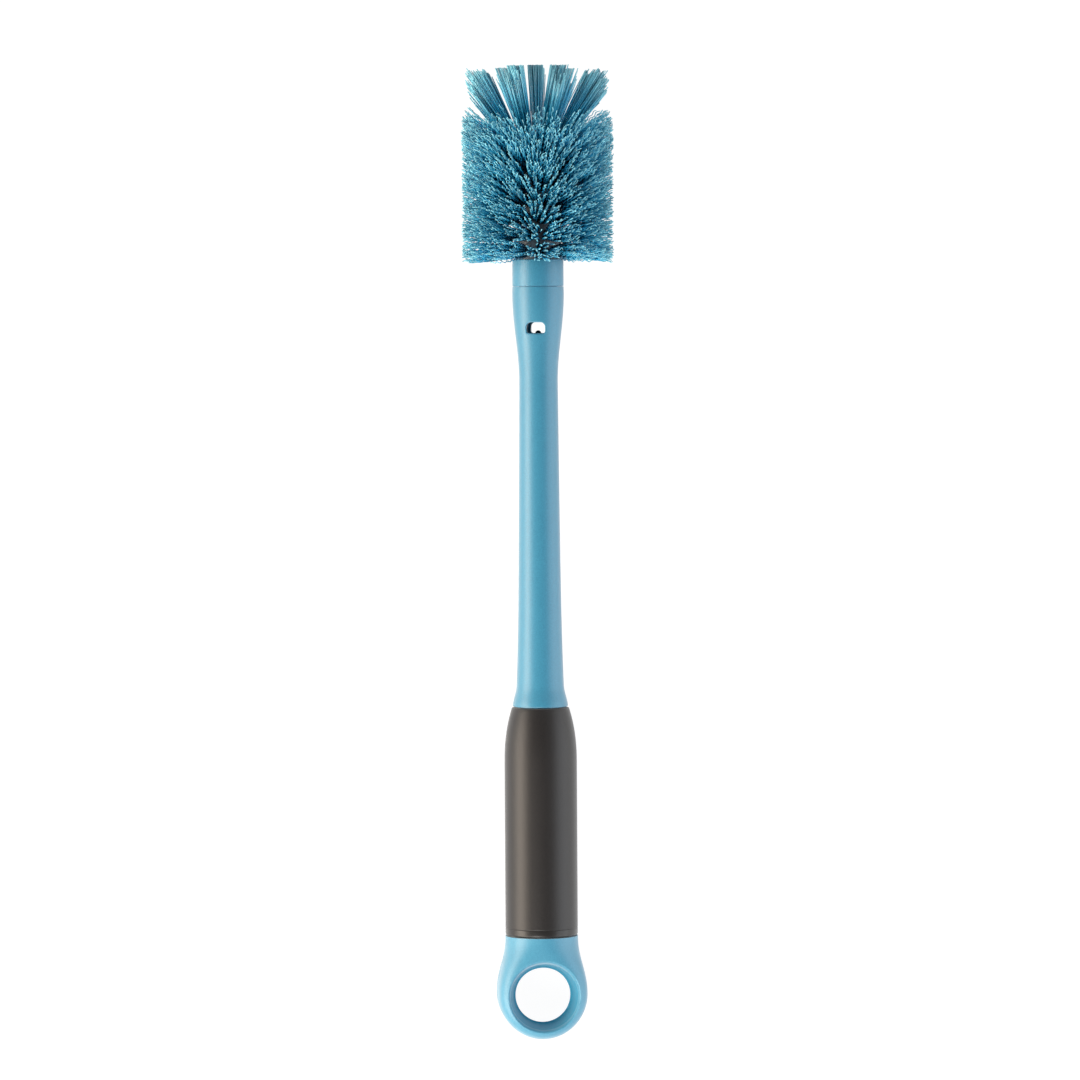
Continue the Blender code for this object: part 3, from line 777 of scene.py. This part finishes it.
# Handle

def grip_radius(height):
    """Outer radius of the grip: a cylinder with a rounded shoulder at its top."""
    share = max(0.0, (height - GRIP.high + GRIP_SHOULDER_LENGTH) / GRIP_SHOULDER_LENGTH)
    return GRIP_RADIUS - (GRIP_RADIUS - GRIP_TOP_RADIUS) * share ** GRIP_SHOULDER_POWER


def grip():
    band = GRIP.low + GRIP_BAND
    shoulder = GRIP.high - GRIP_SHOULDER_LENGTH
    outline = eased([
        (GRIP_RADIUS - GRIP_WALL, GRIP.low, 0),
        (GRIP_RADIUS, GRIP.low, GRIP_FOOT_EASE),
        (GRIP_RADIUS, band, GRIP_STEP_EASE),
        (GRIP_RADIUS - GRIP_STEP_DEPTH, band + GRIP_STEP_FALL, GRIP_STEP_EASE),
        (GRIP_RADIUS, band + GRIP_STEP_WIDTH, GRIP_STEP_END_EASE),
        (GRIP_RADIUS, band + 2 * GRIP_STEP_WIDTH, 0),
    ])
    outline += drawn(grip_radius, shoulder, GRIP.high - GRIP_TOP_EDGE, 28)
    outline += eased([
        (*outline[-1], 0),
        (GRIP_TOP_RADIUS, GRIP.high, GRIP_TOP_EASE),
        (GRIP_TOP_RADIUS - GRIP_WALL, GRIP.high, 0),
    ])[1:]
    outline += drawn(grip_radius, GRIP.high - GAP, shoulder, 12, GRIP_WALL)
    return turned("grip_sleeve", outline)


def shaft_radius(height):
    """Outer radius of the shaft from the grip to the collar seam."""
    foot = GRIP.high + GAP
    if height > WAIST:
        share = min((height - WAIST) / FLARE_LENGTH, 1)
        flare = WAIST_DIAMETER + (FLARE_DIAMETER - WAIST_DIAMETER) * half_wave(share)
        rim = max(0.0, (height - WAIST - FLARE_LENGTH) / RIM_LENGTH)
        return (flare + (COLLAR_DIAMETER - FLARE_DIAMETER) * rim) / 2
    share = 1 - (height - foot) / (WAIST - foot)
    draft = SHOULDER_DIAMETER - SHOULDER_STEP - ROOT_SWELL - WAIST_DIAMETER
    cove = SHOULDER_STEP * (1 - half_wave(min((height - foot) / COVE_LENGTH, 1)))
    swell = ROOT_SWELL * share ** ROOT_SWELL_POWER
    return (WAIST_DIAMETER + draft * share + swell + cove) / 2


def shaft_body():
    """Hollow moulded tube: seat for the cap's plug at its foot, socket for the head at its top."""
    foot = GRIP.high + GAP
    seat_top = CAP.high + GAP
    sleeve = GRIP_WALL + GAP
    outline = [(MOUTH_BORE_RADIUS, SHAFT.low), (GRIP_RADIUS - sleeve, SHAFT.low)]
    outline += drawn(grip_radius, GRIP.high - GRIP_SHOULDER_LENGTH, GRIP.high, 12, sleeve)
    outline[-1] = (outline[-1][0], foot)
    outline += eased([
        (*outline[-1], 0),
        (shaft_radius(foot) - FOOT_GROOVE, foot, 0),
        (shaft_radius(foot) - FOOT_GROOVE, foot + FOOT_GROOVE / 2, 0),
        (shaft_radius(foot), foot + FOOT_GROOVE / 2, FOOT_BEAD),
        (shaft_radius(foot + 2 * FOOT_BEAD), foot + 2 * FOOT_BEAD, 0),
    ])[1:]
    outline += drawn(shaft_radius, foot + 3 * FOOT_BEAD, foot + COVE_LENGTH, 14)
    outline += drawn(shaft_radius, foot + COVE_LENGTH, WAIST, 28)[1:]
    outline += drawn(shaft_radius, WAIST, SHAFT.high - RIM_EDGE, 30)[1:]
    outline += eased([
        (*outline[-1], 0),
        (COLLAR_DIAMETER / 2, SHAFT.high, FINE_EDGE),
        (SOCKET_RADIUS, SHAFT.high, SOFT_EDGE),
        (SOCKET_RADIUS, HEAD_CORE.low - GAP, 0),
    ])[1:]
    outline += [
        (CHAMBER_RADIUS, HEAD_CORE.low - GAP),
        (CHAMBER_RADIUS, WINDOW_SILL),
        (WAIST_BORE_RADIUS, WINDOW_SILL - CHAMBER_CONE_LENGTH),
        (SEAT_BORE_RADIUS, seat_top + SEAT_CONE_LENGTH),
        (MOUTH_BORE_RADIUS, seat_top),
    ]
    return turned("shaft_tube", outline)


def window_outline(grow, corner_steps=8):
    """The window's rounded outline, grown outwards, as (x, height over its middle)."""
    outline = []
    half_width = WINDOW_WIDTH / 2 - WINDOW_FILLET
    half_height = WINDOW_HEIGHT / 2 - WINDOW_FILLET
    corners = (
        (1, 1, WINDOW_TOP_RADIUS), (-1, 1, WINDOW_TOP_RADIUS),
        (-1, -1, WINDOW_BOTTOM_RADIUS), (1, -1, WINDOW_BOTTOM_RADIUS),
    )
    for quarter, (side, end, radius) in enumerate(corners):
        for turn in spread(quarter, quarter + 1, corner_steps):
            angle = turn * math.pi / 2
            x = side * (half_width - radius) + (radius + grow) * math.cos(angle)
            z = end * (half_height - radius) + (radius + grow) * math.sin(angle)
            outline.append((x, z))
    return outline


def window_cutter(name, facing):
    """Cuts one side's window and rounds its rim, following the shaft's round surface."""
    work = bmesh.new()
    middle = SHAFT.high - WINDOW_DROP
    rings = []
    levels = [(WINDOW_FILLET, None)]
    for turn in spread(0, math.pi / 2, 4):
        levels.append((WINDOW_FILLET * (1 - math.sin(turn)), WINDOW_FILLET * (1 - math.cos(turn))))
    levels.append((0.0, math.inf))
    for grow, sunk in levels:
        ring = []
        for x, z in window_outline(grow):
            if sunk is None:
                y = -FLARE_DIAMETER
            elif sunk == math.inf:
                y = -CHAMBER_RADIUS / 2
            else:
                y = -math.sqrt(shaft_radius(middle + z) ** 2 - x * x) + sunk
            ring.append(work.verts.new((x, y, middle + z)))
        rings.append(ring)
    join_tube(work, rings)
    bmesh.ops.rotate(work, verts=work.verts, matrix=Matrix.Rotation(facing - WINDOW_TURN, 3, "Z"))
    return add_object(name, finish_mesh(name, work))


def shaft():
    """The tube with its drain window cut through both walls."""
    body = add_object("shaft_blank", shaft_body())
    cutters = [window_cutter("front_cutter", 0), window_cutter("back_cutter", math.pi)]
    for cutter in cutters:
        cut = body.modifiers.new(cutter.name, "BOOLEAN")
        cut.object = cutter
        cut.operation = "DIFFERENCE"
        cut.solver = "EXACT"
    bpy.context.view_layer.update()
    ready = body.evaluated_get(bpy.context.evaluated_depsgraph_get())
    mesh = bpy.data.meshes.new_from_object(ready)
    mesh.name = "shaft_tube_cut"
    mesh.shade_smooth()
    mesh.set_sharp_from_angle(angle=SHARP_ANGLE)
    for piece in [body] + cutters:
        bpy.data.objects.remove(piece)
    return mesh


def head_core():
    """Plug, collar and tufted core of the head in one moulding, with its rounded crown."""
    collar = COLLAR_DIAMETER / 2
    profile = eased([
        (0, HEAD_CORE.low, 0),
        (HEAD_PLUG_RADIUS, HEAD_CORE.low, ROUND_EDGE),
        (HEAD_PLUG_RADIUS, SHAFT.high + COLLAR_SEAM, 0),
        (collar - COLLAR_GROOVE_DEPTH, SHAFT.high + COLLAR_SEAM, 0),
        (collar - COLLAR_GROOVE_DEPTH, SHAFT.high + COLLAR_GROOVE_HEIGHT, 0),
        (collar, SHAFT.high + COLLAR_GROOVE_HEIGHT, COLLAR_GROOVE_EASE),
        (collar, COLLAR_TOP, SOFT_EDGE),
        (CORE_RADIUS, COLLAR_TOP + COLLAR_TOP_RISE, FINE_EDGE),
        (CORE_RADIUS, CROWN.low + DOME_SKIRT, DOME_SKIRT_EASE),
        (DOME_TOP_RADIUS, DOME_TOP, DOME_TOP_EASE),
        (0, DOME_TOP, 0),
    ])
    return turned("head_core_moulding", profile)


# Bristles

def polar(radius, angle, height):
    """Points at angles round the axis, counted from the loop's face towards +X."""
    return np.stack(np.broadcast_arrays(radius * np.sin(angle), -radius * np.cos(angle), height), -1)


def unit(vectors):
    return vectors / np.linalg.norm(vectors, axis=-1, keepdims=True)


def sideways(directions, rng):
    """For each direction a unit vector square to it, at a random angle round it."""
    return unit(np.cross(directions, unit(rng.normal(size=directions.shape))))


def disc(count, rng):
    """Points spread evenly over a disc of radius 1, turned at random."""
    index = np.arange(count) + 0.5
    angle = index * GOLDEN_ANGLE + rng.uniform(0, FULL_TURN)
    reach = np.sqrt(index / count)
    return np.stack([reach * np.cos(angle), reach * np.sin(angle)], 1)


def clumped(fan, count, pull, rng):
    """Draws points of a disc to the nearest of a few places, as filaments cling to each other."""
    places = disc(count, rng)
    nearest = np.linalg.norm(fan[:, None] - places[None], axis=2).argmin(1)
    tones = CLUMP_SHARE * rng.random(count)[nearest] + (1 - CLUMP_SHARE) * rng.random(len(fan))
    return fan + (places[nearest] - fan) * pull, tones


def strand_mesh(name, centres, shares, radius, across, tones):
    """Tubes along centres (strand, step, xyz), with attributes that their material reads."""
    count, steps, _ = centres.shape
    sides = STRAND_SIDES
    along = unit(centres[:, -1] - centres[:, 0])
    other = np.cross(along, across)
    turns = np.arange(sides) * FULL_TURN / sides
    spokes = across[:, None] * np.cos(turns)[:, None] + other[:, None] * np.sin(turns)[:, None]
    points = centres[:, :, None] + radius * spokes[:, None]
    index = np.arange(count * steps * sides).reshape(count, steps, sides)
    after = np.roll(index, -1, axis=2)
    quads = np.stack([index[:, :-1], after[:, :-1], after[:, 1:], index[:, 1:]], -1).reshape(-1, 4)
    ends = np.concatenate([index[:, 0, ::-1], index[:, -1]])
    mesh = bpy.data.meshes.new(name)
    mesh.from_pydata(points.reshape(-1, 3).tolist(), [], quads.tolist() + ends.tolist())
    mesh.shade_smooth()
    # along drives the nylon's painted root shade and painted tip light; tone is a random darker tone,
    # with painted shade added for the crown's middle tuft.
    along_values = np.broadcast_to(shares[None, :, None], (count, steps, sides))
    tone_values = np.broadcast_to(tones[:, None, None], (count, steps, sides))
    for attribute, values in (("along", along_values), ("tone", tone_values)):
        layer = mesh.attributes.new(attribute, "FLOAT", "POINT")
        layer.data.foreach_set("value", values.astype(np.float32).ravel())
    return mesh


def crimp_shares():
    """Steps along a crimped filament: its straight root in one step, the rest evenly."""
    straight = CRIMP_START / (HEAD_RADIUS - CORE_RADIUS)
    return np.concatenate([[0], np.linspace(straight, 1, CRIMP_STEPS)])


def side_tuft_ends(row, tuft, rng):
    """Roots and tips of the filaments of one side tuft, which fans out to the trimmed face."""
    root_height = CORE_BOTTOM + (row + 0.5) * ROW_PITCH
    tip_height = CORE_BOTTOM + ROW_PITCH / 2 - FIRST_TIP_DROP + row * TIP_PITCH
    middle = (tuft + 0.5 * (row % 2)) * FULL_TURN / TUFTS_PER_ROW
    fan = disc(SIDE_FILAMENTS, rng)
    loose, tones = clumped(fan, SIDE_CLUMPS, SIDE_PULL, rng)
    loose = loose + rng.normal(0, SIDE_SCATTER, fan.shape)
    tip_fall, root_fall = SIDE_TIP_RISE, SIDE_ROOT_SPREAD
    if row == 0:
        tip_fall, root_fall = LOWEST_TIP_FALL, LOWEST_ROOT_FALL
    tip_rise = loose[:, 1] * np.where(loose[:, 1] < 0, tip_fall, SIDE_TIP_RISE)
    root_rise = fan[:, 1] * np.where(fan[:, 1] < 0, root_fall, SIDE_ROOT_SPREAD)
    trim = HEAD_RADIUS + np.clip(rng.normal(0, TRIM_RAGGED, len(fan)), *TRIM_LIMITS)
    short = rng.random(len(fan)) < SHORT_SHARE
    trim = trim - short * rng.uniform(*SHORT_LIMITS, len(fan))
    tip_angle = middle + loose[:, 0] * SIDE_TIP_SPREAD / HEAD_RADIUS
    underneath = np.cos(tip_angle) < UNDERSIDE_COSINE
    trim = np.where(underneath, np.minimum(trim, HEAD_RADIUS - UNDERSIDE_CLEARANCE), trim)
    root = polar(
        CORE_RADIUS - FILAMENT_START,
        middle + fan[:, 0] * SIDE_ROOT_SPREAD / CORE_RADIUS,
        root_height + root_rise,
    )
    if row == ROW_COUNT - 1:
        tip_rise = tip_rise - TOP_ROW_DROP + rng.normal(0, TOP_ROW_RAGGED, len(fan))
        trim = trim - TOP_ROW_ROUNDING * np.clip(loose[:, 1], 0, 1) ** 2
    tip = polar(trim, tip_angle, tip_height + tip_rise)
    slant = (tip - root) - polar(HEAD_RADIUS - CORE_RADIUS, middle, tip_height - root_height)
    return root, tip, tones, slant


def crimped(root, tip, slant, rng):
    """Centre lines of crimped filaments from root to tip."""
    shares = crimp_shares()[None, :, None]
    run = tip - root
    length = np.linalg.norm(run, axis=1)[:, None, None]
    direction = unit(run)
    swing = sideways(direction, rng)[:, None]
    each = (len(root), 1, 1)
    bow = sideways(direction, rng)[:, None] * rng.normal(0, FILAMENT_BOW, each)
    bow = bow + slant[:, None] * SIDE_FAN_BOW
    period = CRIMP_PERIOD * rng.uniform(*CRIMP_PERIOD_RANGE, each)
    phase = rng.uniform(0, FULL_TURN, each)
    size = CRIMP_SWING * rng.uniform(*CRIMP_SWING_RANGE, each)
    ramp = np.clip((shares * length - CRIMP_START) / CRIMP_RAMP, 0, 1)
    wave = size * ramp * np.sin(shares * length / period * FULL_TURN + phase)
    return root[:, None] + run[:, None] * shares + swing * wave + bow * np.sin(shares * math.pi)


def tuft_row(row):
    """One ring of side tufts, crimped filament by filament."""
    rng = np.random.default_rng(SEED + row)
    tufts = [side_tuft_ends(row, tuft, rng) for tuft in range(TUFTS_PER_ROW)]
    root, tip, tones, slant = (np.concatenate(part) for part in zip(*tufts))
    centres = crimped(root, tip, slant, rng)
    across = sideways(unit(tip - root), rng)
    return strand_mesh(f"tufts_{row + 1}", centres, crimp_shares(), FILAMENT_RADIUS, across, tones)


def dome_height(radius):
    """Height of the dome's surface at a radius."""
    fall = DOME_HEIGHT - DOME_SKIRT
    run = CORE_RADIUS - DOME_TOP_RADIUS
    return DOME_TOP - fall * np.clip(radius - DOME_TOP_RADIUS, 0, None) / run


def crown_tuft_ends(azimuth, rng):
    """Roots and tips of one splayed crown tuft, trimmed level on top and ragged at the sides."""
    middle = math.radians(azimuth)
    fan = disc(CROWN_FILAMENTS, rng)
    loose, tones = clumped(fan, CROWN_CLUMPS, CROWN_PULL, rng)
    loose = loose + rng.normal(0, CROWN_SCATTER, fan.shape)
    root_radius = CROWN_ROOT_RADIUS + fan[:, 1] * CROWN_ROOT_SPREAD
    root_height = dome_height(root_radius) - FILAMENT_START
    tilt = CROWN_TILT + CROWN_SIDE_TILT * math.sin(middle) ** 2
    slope = np.tan(tilt + loose[:, 1] * CROWN_TILT_SPREAD)
    fall = CROWN_SIDE_FALL * math.sin(middle) ** 2 + CROWN_FRONT_FALL * max(math.cos(middle), 0)
    to_top = CROWN.high - fall - root_height
    to_rim = (CROWN_REACH - root_radius) / slope
    ragged = CROWN_TOP_RAGGED + CROWN_SIDE_RAGGED * math.sin(middle) ** 4
    cut = CLUMP_SHARE * tones + (1 - CLUMP_SHARE) * np.abs(rng.normal(0, 1, len(fan)))
    rise = np.minimum(to_top, to_rim) - cut * ragged
    root = polar(root_radius, middle + fan[:, 0] * CROWN_ROOT_SPREAD / CROWN_ROOT_RADIUS, root_height)
    reach = root_radius + rise * slope
    tip = polar(reach, middle + loose[:, 0] * CROWN_TIP_SPREAD / CROWN_REACH, root_height + rise)
    return root, tip, (tones - CROWN_TONE_START) * CROWN_CONTRAST


def middle_tuft_ends(rng):
    """Roots and tips of the upright tuft in the middle of the crown."""
    fan = disc(CROWN_FILAMENTS, rng)
    loose, tones = clumped(fan, CROWN_CLUMPS, MIDDLE_PULL, rng)
    root = np.stack([*(fan.T * CROWN_ROOT_SPREAD), np.full(len(fan), DOME_TOP - FILAMENT_START)], 1)
    top = CROWN.high - np.abs(rng.normal(0, MIDDLE_RAGGED, len(fan)))
    tip = np.stack([*(loose.T * MIDDLE_TIP_SPREAD), top], 1) - Vector((MIDDLE_LEAN, 0, 0))
    # The middle tuft's tones are raised as painted shade from the ring of tufts round it.
    return root, tip, tones + MIDDLE_PAINTED_SHADE


def crown():
    """The splayed ring of straight tufts and the upright tuft in its middle."""
    rng = np.random.default_rng(SEED + ROW_COUNT)
    tufts = [crown_tuft_ends(azimuth, rng) for azimuth in CROWN_AZIMUTHS]
    tufts.append(middle_tuft_ends(rng))
    root, tip, tones = (np.concatenate(part) for part in zip(*tufts))
    way = np.linspace(0, 1, CROWN_STEPS)[None, :, None]
    direction = unit(tip - root)
    bow = sideways(direction, rng)[:, None] * rng.normal(0, FILAMENT_BOW, (len(root), 1, 1))
    centres = root[:, None] + (tip - root)[:, None] * way + bow * np.sin(way * math.pi)
    across = sideways(direction, rng)
    # Shares along the nylon's painted root shade and painted tip light, starting past the darkest part.
    shades = np.linspace(CROWN_PAINTED_SHADE_START, 1, CROWN_STEPS)
    return strand_mesh("crown_strands", centres, shades, FILAMENT_RADIUS, across, tones)


# Straw brush

def twisted_wires():
    """Two wires twisted round each other, which grip the fine bristles between them."""
    work = bmesh.new()
    turns = (STEM.high - STEM.low) / WIRE_PITCH
    steps = round(turns * WIRE_STEPS)
    for strand in range(2):
        rings = []
        for step in range(steps + 1):
            angle = turns * FULL_TURN * step / steps + strand * math.pi
            height = STEM.low + (STEM.high - STEM.low) * step / steps
            out = Vector((math.cos(angle), math.sin(angle), 0))
            lead = Vector((-math.sin(angle), math.cos(angle), 0)) * (FULL_TURN * WIRE_RADIUS)
            along = (lead + Vector((0, 0, WIRE_PITCH))).normalized()
            other = along.cross(out)
            centre = out * WIRE_RADIUS + Vector((0, 0, height))
            ring = []
            for turn in spread(0, FULL_TURN, WIRE_SIDES)[:-1]:
                offset = out * math.cos(turn) + other * math.sin(turn)
                ring.append(work.verts.new(centre + offset * WIRE_RADIUS))
            rings.append(ring)
        join_tube(work, rings)
    return finish_mesh("twisted_wires", work, WIRE_SHARP_ANGLE)


def straw_bristles():
    """Fine filaments that stand out round the twisted wires in a tight double screw."""
    rng = np.random.default_rng(STRAW_SEED)
    share = (np.arange(STRAW_FILAMENTS) + rng.random(STRAW_FILAMENTS)) / STRAW_FILAMENTS
    height = STRAW_BRISTLES.low + share * (STRAW_BRISTLES.high - STRAW_BRISTLES.low)
    angle = height / WIRE_PITCH * FULL_TURN + math.pi * rng.integers(0, 2, STRAW_FILAMENTS)
    angle = angle + rng.normal(0, STRAW_SCATTER, STRAW_FILAMENTS)
    from_end = np.minimum(height - STRAW_BRISTLES.low, STRAW_BRISTLES.high - height)
    slim = (STEM.radius + GAP + STRAW_BRISTLES.radius) / 2
    reach = slim + (STRAW_BRISTLES.radius - slim) * np.clip(from_end / STRAW_TAPER, 0, 1)
    reach = reach - np.abs(rng.normal(0, STRAW_RAGGED, STRAW_FILAMENTS))
    root = polar(np.full(STRAW_FILAMENTS, WIRE_RADIUS), angle, height)
    lean = rng.normal(0, STRAW_LEAN, STRAW_FILAMENTS)
    tip = polar(reach, angle + rng.normal(0, STRAW_TWIST, STRAW_FILAMENTS), height + lean)
    shares = np.linspace(0, 1, STRAW_STEPS)
    centres = root[:, None] + (tip - root)[:, None] * shares[None, :, None]
    across = sideways(unit(tip - root), rng)
    tones = rng.random(STRAW_FILAMENTS)
    return strand_mesh("straw_strands", centres, shares, STRAW_FILAMENT_RADIUS, across, tones)


def straw_tip():
    """Rounded cap on the wires' end, the dome seen in the drain window."""
    sleeve = STRAW_TIP.radius
    bore = STEM.radius + GAP
    profile = eased([
        (0, STEM.high + GAP, 0),
        (bore, STEM.high + GAP, 0),
        (bore, STRAW_TIP.low, TIP_BORE_EASE),
        (sleeve, STRAW_TIP.low, TIP_SLEEVE_EASE),
        (sleeve, STRAW_TIP.low + TIP_WALL_STEP, ROUND_EDGE),
        (TIP_NOSE_RADIUS, STRAW_TIP.high - TIP_NOSE_LENGTH, ROUND_EDGE),
        (TIP_NOSE_RADIUS, STRAW_TIP.high - TIP_NOSE_RADIUS, 0),
    ])
    for turn in spread(0, math.pi / 2, 10)[1:]:
        reach = TIP_NOSE_RADIUS * math.cos(turn)
        profile.append((reach, STRAW_TIP.high - TIP_NOSE_RADIUS * (1 - math.sin(turn))))
    profile[-1] = (0, STRAW_TIP.high)
    return turned("straw_tip_cap", profile, TIP_STEPS)


# Studio

EYE = Vector((-182.7, -2092, 270.3)) * MM  # in the brush's own upright axes
LOOK_AT = Vector((0.2, 0, 179.3)) * MM
LEAN = math.radians(0.33)
FRAME_WIDTH = 388 * MM
SENSOR_WIDTH = 36
CLIP_LIMITS = (0.05, 50)
SIDE_LAMP_DISTANCE = 1.3
SIDE_LAMP_LENGTH = 1.9
SIDE_LAMP_SHIFT = -0.5  # along the brush, towards its loop
LOOP_LAMP_OFFSET = Vector((-0.2, -0.4, 0.45))
LOOP_LAMP_SIZE = 0.3
LOOP_LAMP_RADIANCE = 7.0
FLOOR_HALF_WIDTH = 12
FLOOR_BOUNCE = 0.8
FLOOR_GLOW = 0.96
FLOOR_SHADE = 0.12  # how strongly the brush's shadow shows on the white


def camera():
    """Looks down on the lying brush, a little from its left and from over its head end."""
    lens = bpy.data.cameras.new("view")
    eye = LAID_DOWN @ EYE
    target = LAID_DOWN @ LOOK_AT
    forward = (target - eye).normalized()
    up = (AXIS - forward * AXIS.dot(forward)).normalized()
    right = forward.cross(up)
    leaned_up = up * math.cos(LEAN) + right * math.sin(LEAN)
    leaned_right = forward.cross(leaned_up)
    lens.sensor_width = SENSOR_WIDTH
    lens.lens = SENSOR_WIDTH * (target - eye).length / FRAME_WIDTH
    lens.clip_start, lens.clip_end = CLIP_LIMITS
    viewer = add_object("view", lens)
    axes = Matrix((leaned_right, leaned_up, -forward)).transposed().to_4x4()
    viewer.matrix_world = Matrix.Translation(eye) @ axes
    bpy.context.scene.camera = viewer


def softbox(name, spot, target, width, height, radiance, tint):
    """A panel of even brightness turned towards a point, its width kept level."""
    light = bpy.data.lights.new(name, "AREA")
    light.shape = "RECTANGLE"
    light.size = width
    light.size_y = height
    light.energy = radiance * math.pi * width * height
    light.color = tint
    lamp = add_object(name, light)
    lamp.location = spot
    lamp.rotation_euler = (target - spot).to_track_quat("-Z", "Y").to_euler()


def lights():
    """Long panels on both sides, mostly past the loop's end, and a small one over the loop."""
    sides = (
        ("left_softbox", -74, 0.8, 5.2, (1.0, 0.87, 0.73)),
        ("right_softbox", 66, 1.1, 1.4, (0.91, 0.95, 1.0)),
    )
    for name, zenith, height, radiance, tint in sides:
        angle = math.radians(zenith)
        target = Vector((0, SIDE_LAMP_SHIFT, 0))
        spot = target + Vector((math.sin(angle), 0, math.cos(angle))) * SIDE_LAMP_DISTANCE
        softbox(name, spot, target, SIDE_LAMP_LENGTH, height, radiance, tint)
    loop = LAID_DOWN @ Vector((0, 0, SEAM))
    softbox("loop_softbox", loop + LOOP_LAMP_OFFSET, loop, LOOP_LAMP_SIZE, LOOP_LAMP_SIZE,
            LOOP_LAMP_RADIANCE, (1.0, 0.97, 0.93))


def white_where_seen(tree, lit, white):
    """White to the camera, in reflections and through glass, and lit for the light that it bounces."""
    path = add_node(tree, "LightPath", {})
    share = path.outputs["Is Camera Ray"]
    for kind in ("Is Glossy Ray", "Is Transmission Ray"):
        either = add_node(tree, "Math", {0: share, 1: path.outputs[kind]})
        either.operation = "MAXIMUM"
        share = either.outputs[0]
    return add_node(tree, "MixShader", {"Fac": share, 1: lit, 2: white}).outputs[0]


def world():
    """Pale surroundings, white at the horizon and darker straight above, where the camera hangs."""
    surroundings = bpy.data.worlds.new("surroundings")
    bpy.context.scene.world = surroundings
    surroundings.use_nodes = True
    tree = surroundings.node_tree
    direction = add_node(tree, "TexCoord", {}).outputs["Generated"]
    sky = colour_ramp(
        tree, add_node(tree, "SeparateXYZ", {"Vector": direction}).outputs["Z"],
        (0.05, (1.0, 1.0, 1.0, 1)),
        (0.1, (0.79, 0.79, 0.8, 1)),
        (1.0, (0.25, 0.25, 0.26, 1)),
    )
    give(tree, tree.nodes["Background"].inputs, {"Color": sky, "Strength": 1.0})


def grey(value):
    return (value, value, value, 1)


def floor():
    """Pale table top: white to the camera apart from the brush's soft shadow."""
    work = bmesh.new()
    bmesh.ops.create_grid(work, x_segments=1, y_segments=1, size=FLOOR_HALF_WIDTH)
    mesh = bpy.data.meshes.new("table_top")
    work.to_mesh(mesh)
    work.free()
    top = add_object("table_top", mesh)
    material = bpy.data.materials.new("table_top")
    material.use_nodes = True
    tree = material.node_tree
    tree.nodes.remove(tree.nodes["Principled BSDF"])
    matte = add_node(tree, "BsdfDiffuse", {"Color": grey(FLOOR_BOUNCE)})
    faint = add_node(tree, "BsdfDiffuse", {"Color": grey(FLOOR_SHADE)})
    glow = add_node(tree, "Emission", {"Strength": FLOOR_GLOW})
    white = add_node(tree, "AddShader", {0: faint.outputs[0], 1: glow.outputs[0]})
    surface = white_where_seen(tree, matte.outputs[0], white.outputs[0])
    give(tree, tree.nodes["Material Output"].inputs, {"Surface": surface})
    mesh.materials.append(material)


def build():
    blue = blue_plastic("satin_handle_plastic", HANDLE_BLUE, 0.65)
    # The cap's plastic: the handle's blue, lightened with painted light.
    cap_blue = blue_plastic("satin_cap_plastic_painted_lighter", CAP_BLUE_PAINTED_LIGHTER, 0.5)
    head_blue = blue_plastic("satin_head_plastic", HANDLE_BLUE, 0.5, core_from=COLLAR_TOP)
    nylon = bristle_nylon()
    cap = place("loop_cap_moulding", loop_cap(), cap_blue, "straw_brush", "blue_plastic", "loop_cap")
    # The hole's wall: the same lightened tones with painted light, with less sheen and gloss.
    cap.data.materials.append(blue_plastic("plain_hole_plastic", CAP_BLUE_PAINTED_LIGHTER, 0.0, specular=0.3))
    place("seal_ring_soft", seal_ring(), seal_rubber(), "seal_ring", "seal_rubber", "seal_ring")
    place("wire_stem", twisted_wires(), steel_wire(), "straw_brush", "stem_wire", "straw_brush_stem")
    place("straw_bristles", straw_bristles(), nylon, "straw_brush", "bristle_nylon",
          "straw_brush_bristles")
    place("straw_tip", straw_tip(), tip_plastic(), "straw_brush", "tip_plastic", "straw_brush_tip")
    place("shaft_moulding", shaft(), blue, "handle", "blue_plastic", "shaft")
    place("grip_sleeve", grip(), grip_rubber(), "handle", "grip_rubber", "grip")
    place("head_core_moulding", head_core(), head_blue, "handle", "blue_plastic", "head_core")
    for row in range(ROW_COUNT):
        place(f"tufts_row_{row + 1}", tuft_row(row), nylon, "handle", "bristle_nylon",
              f"bristle_row_{row + 1}")
    place("crown_tufts", crown(), nylon, "handle", "bristle_nylon", "crown_bristles")


bpy.context.scene.view_settings.view_transform = "Standard"
camera()
lights()
world()
floor()
build()
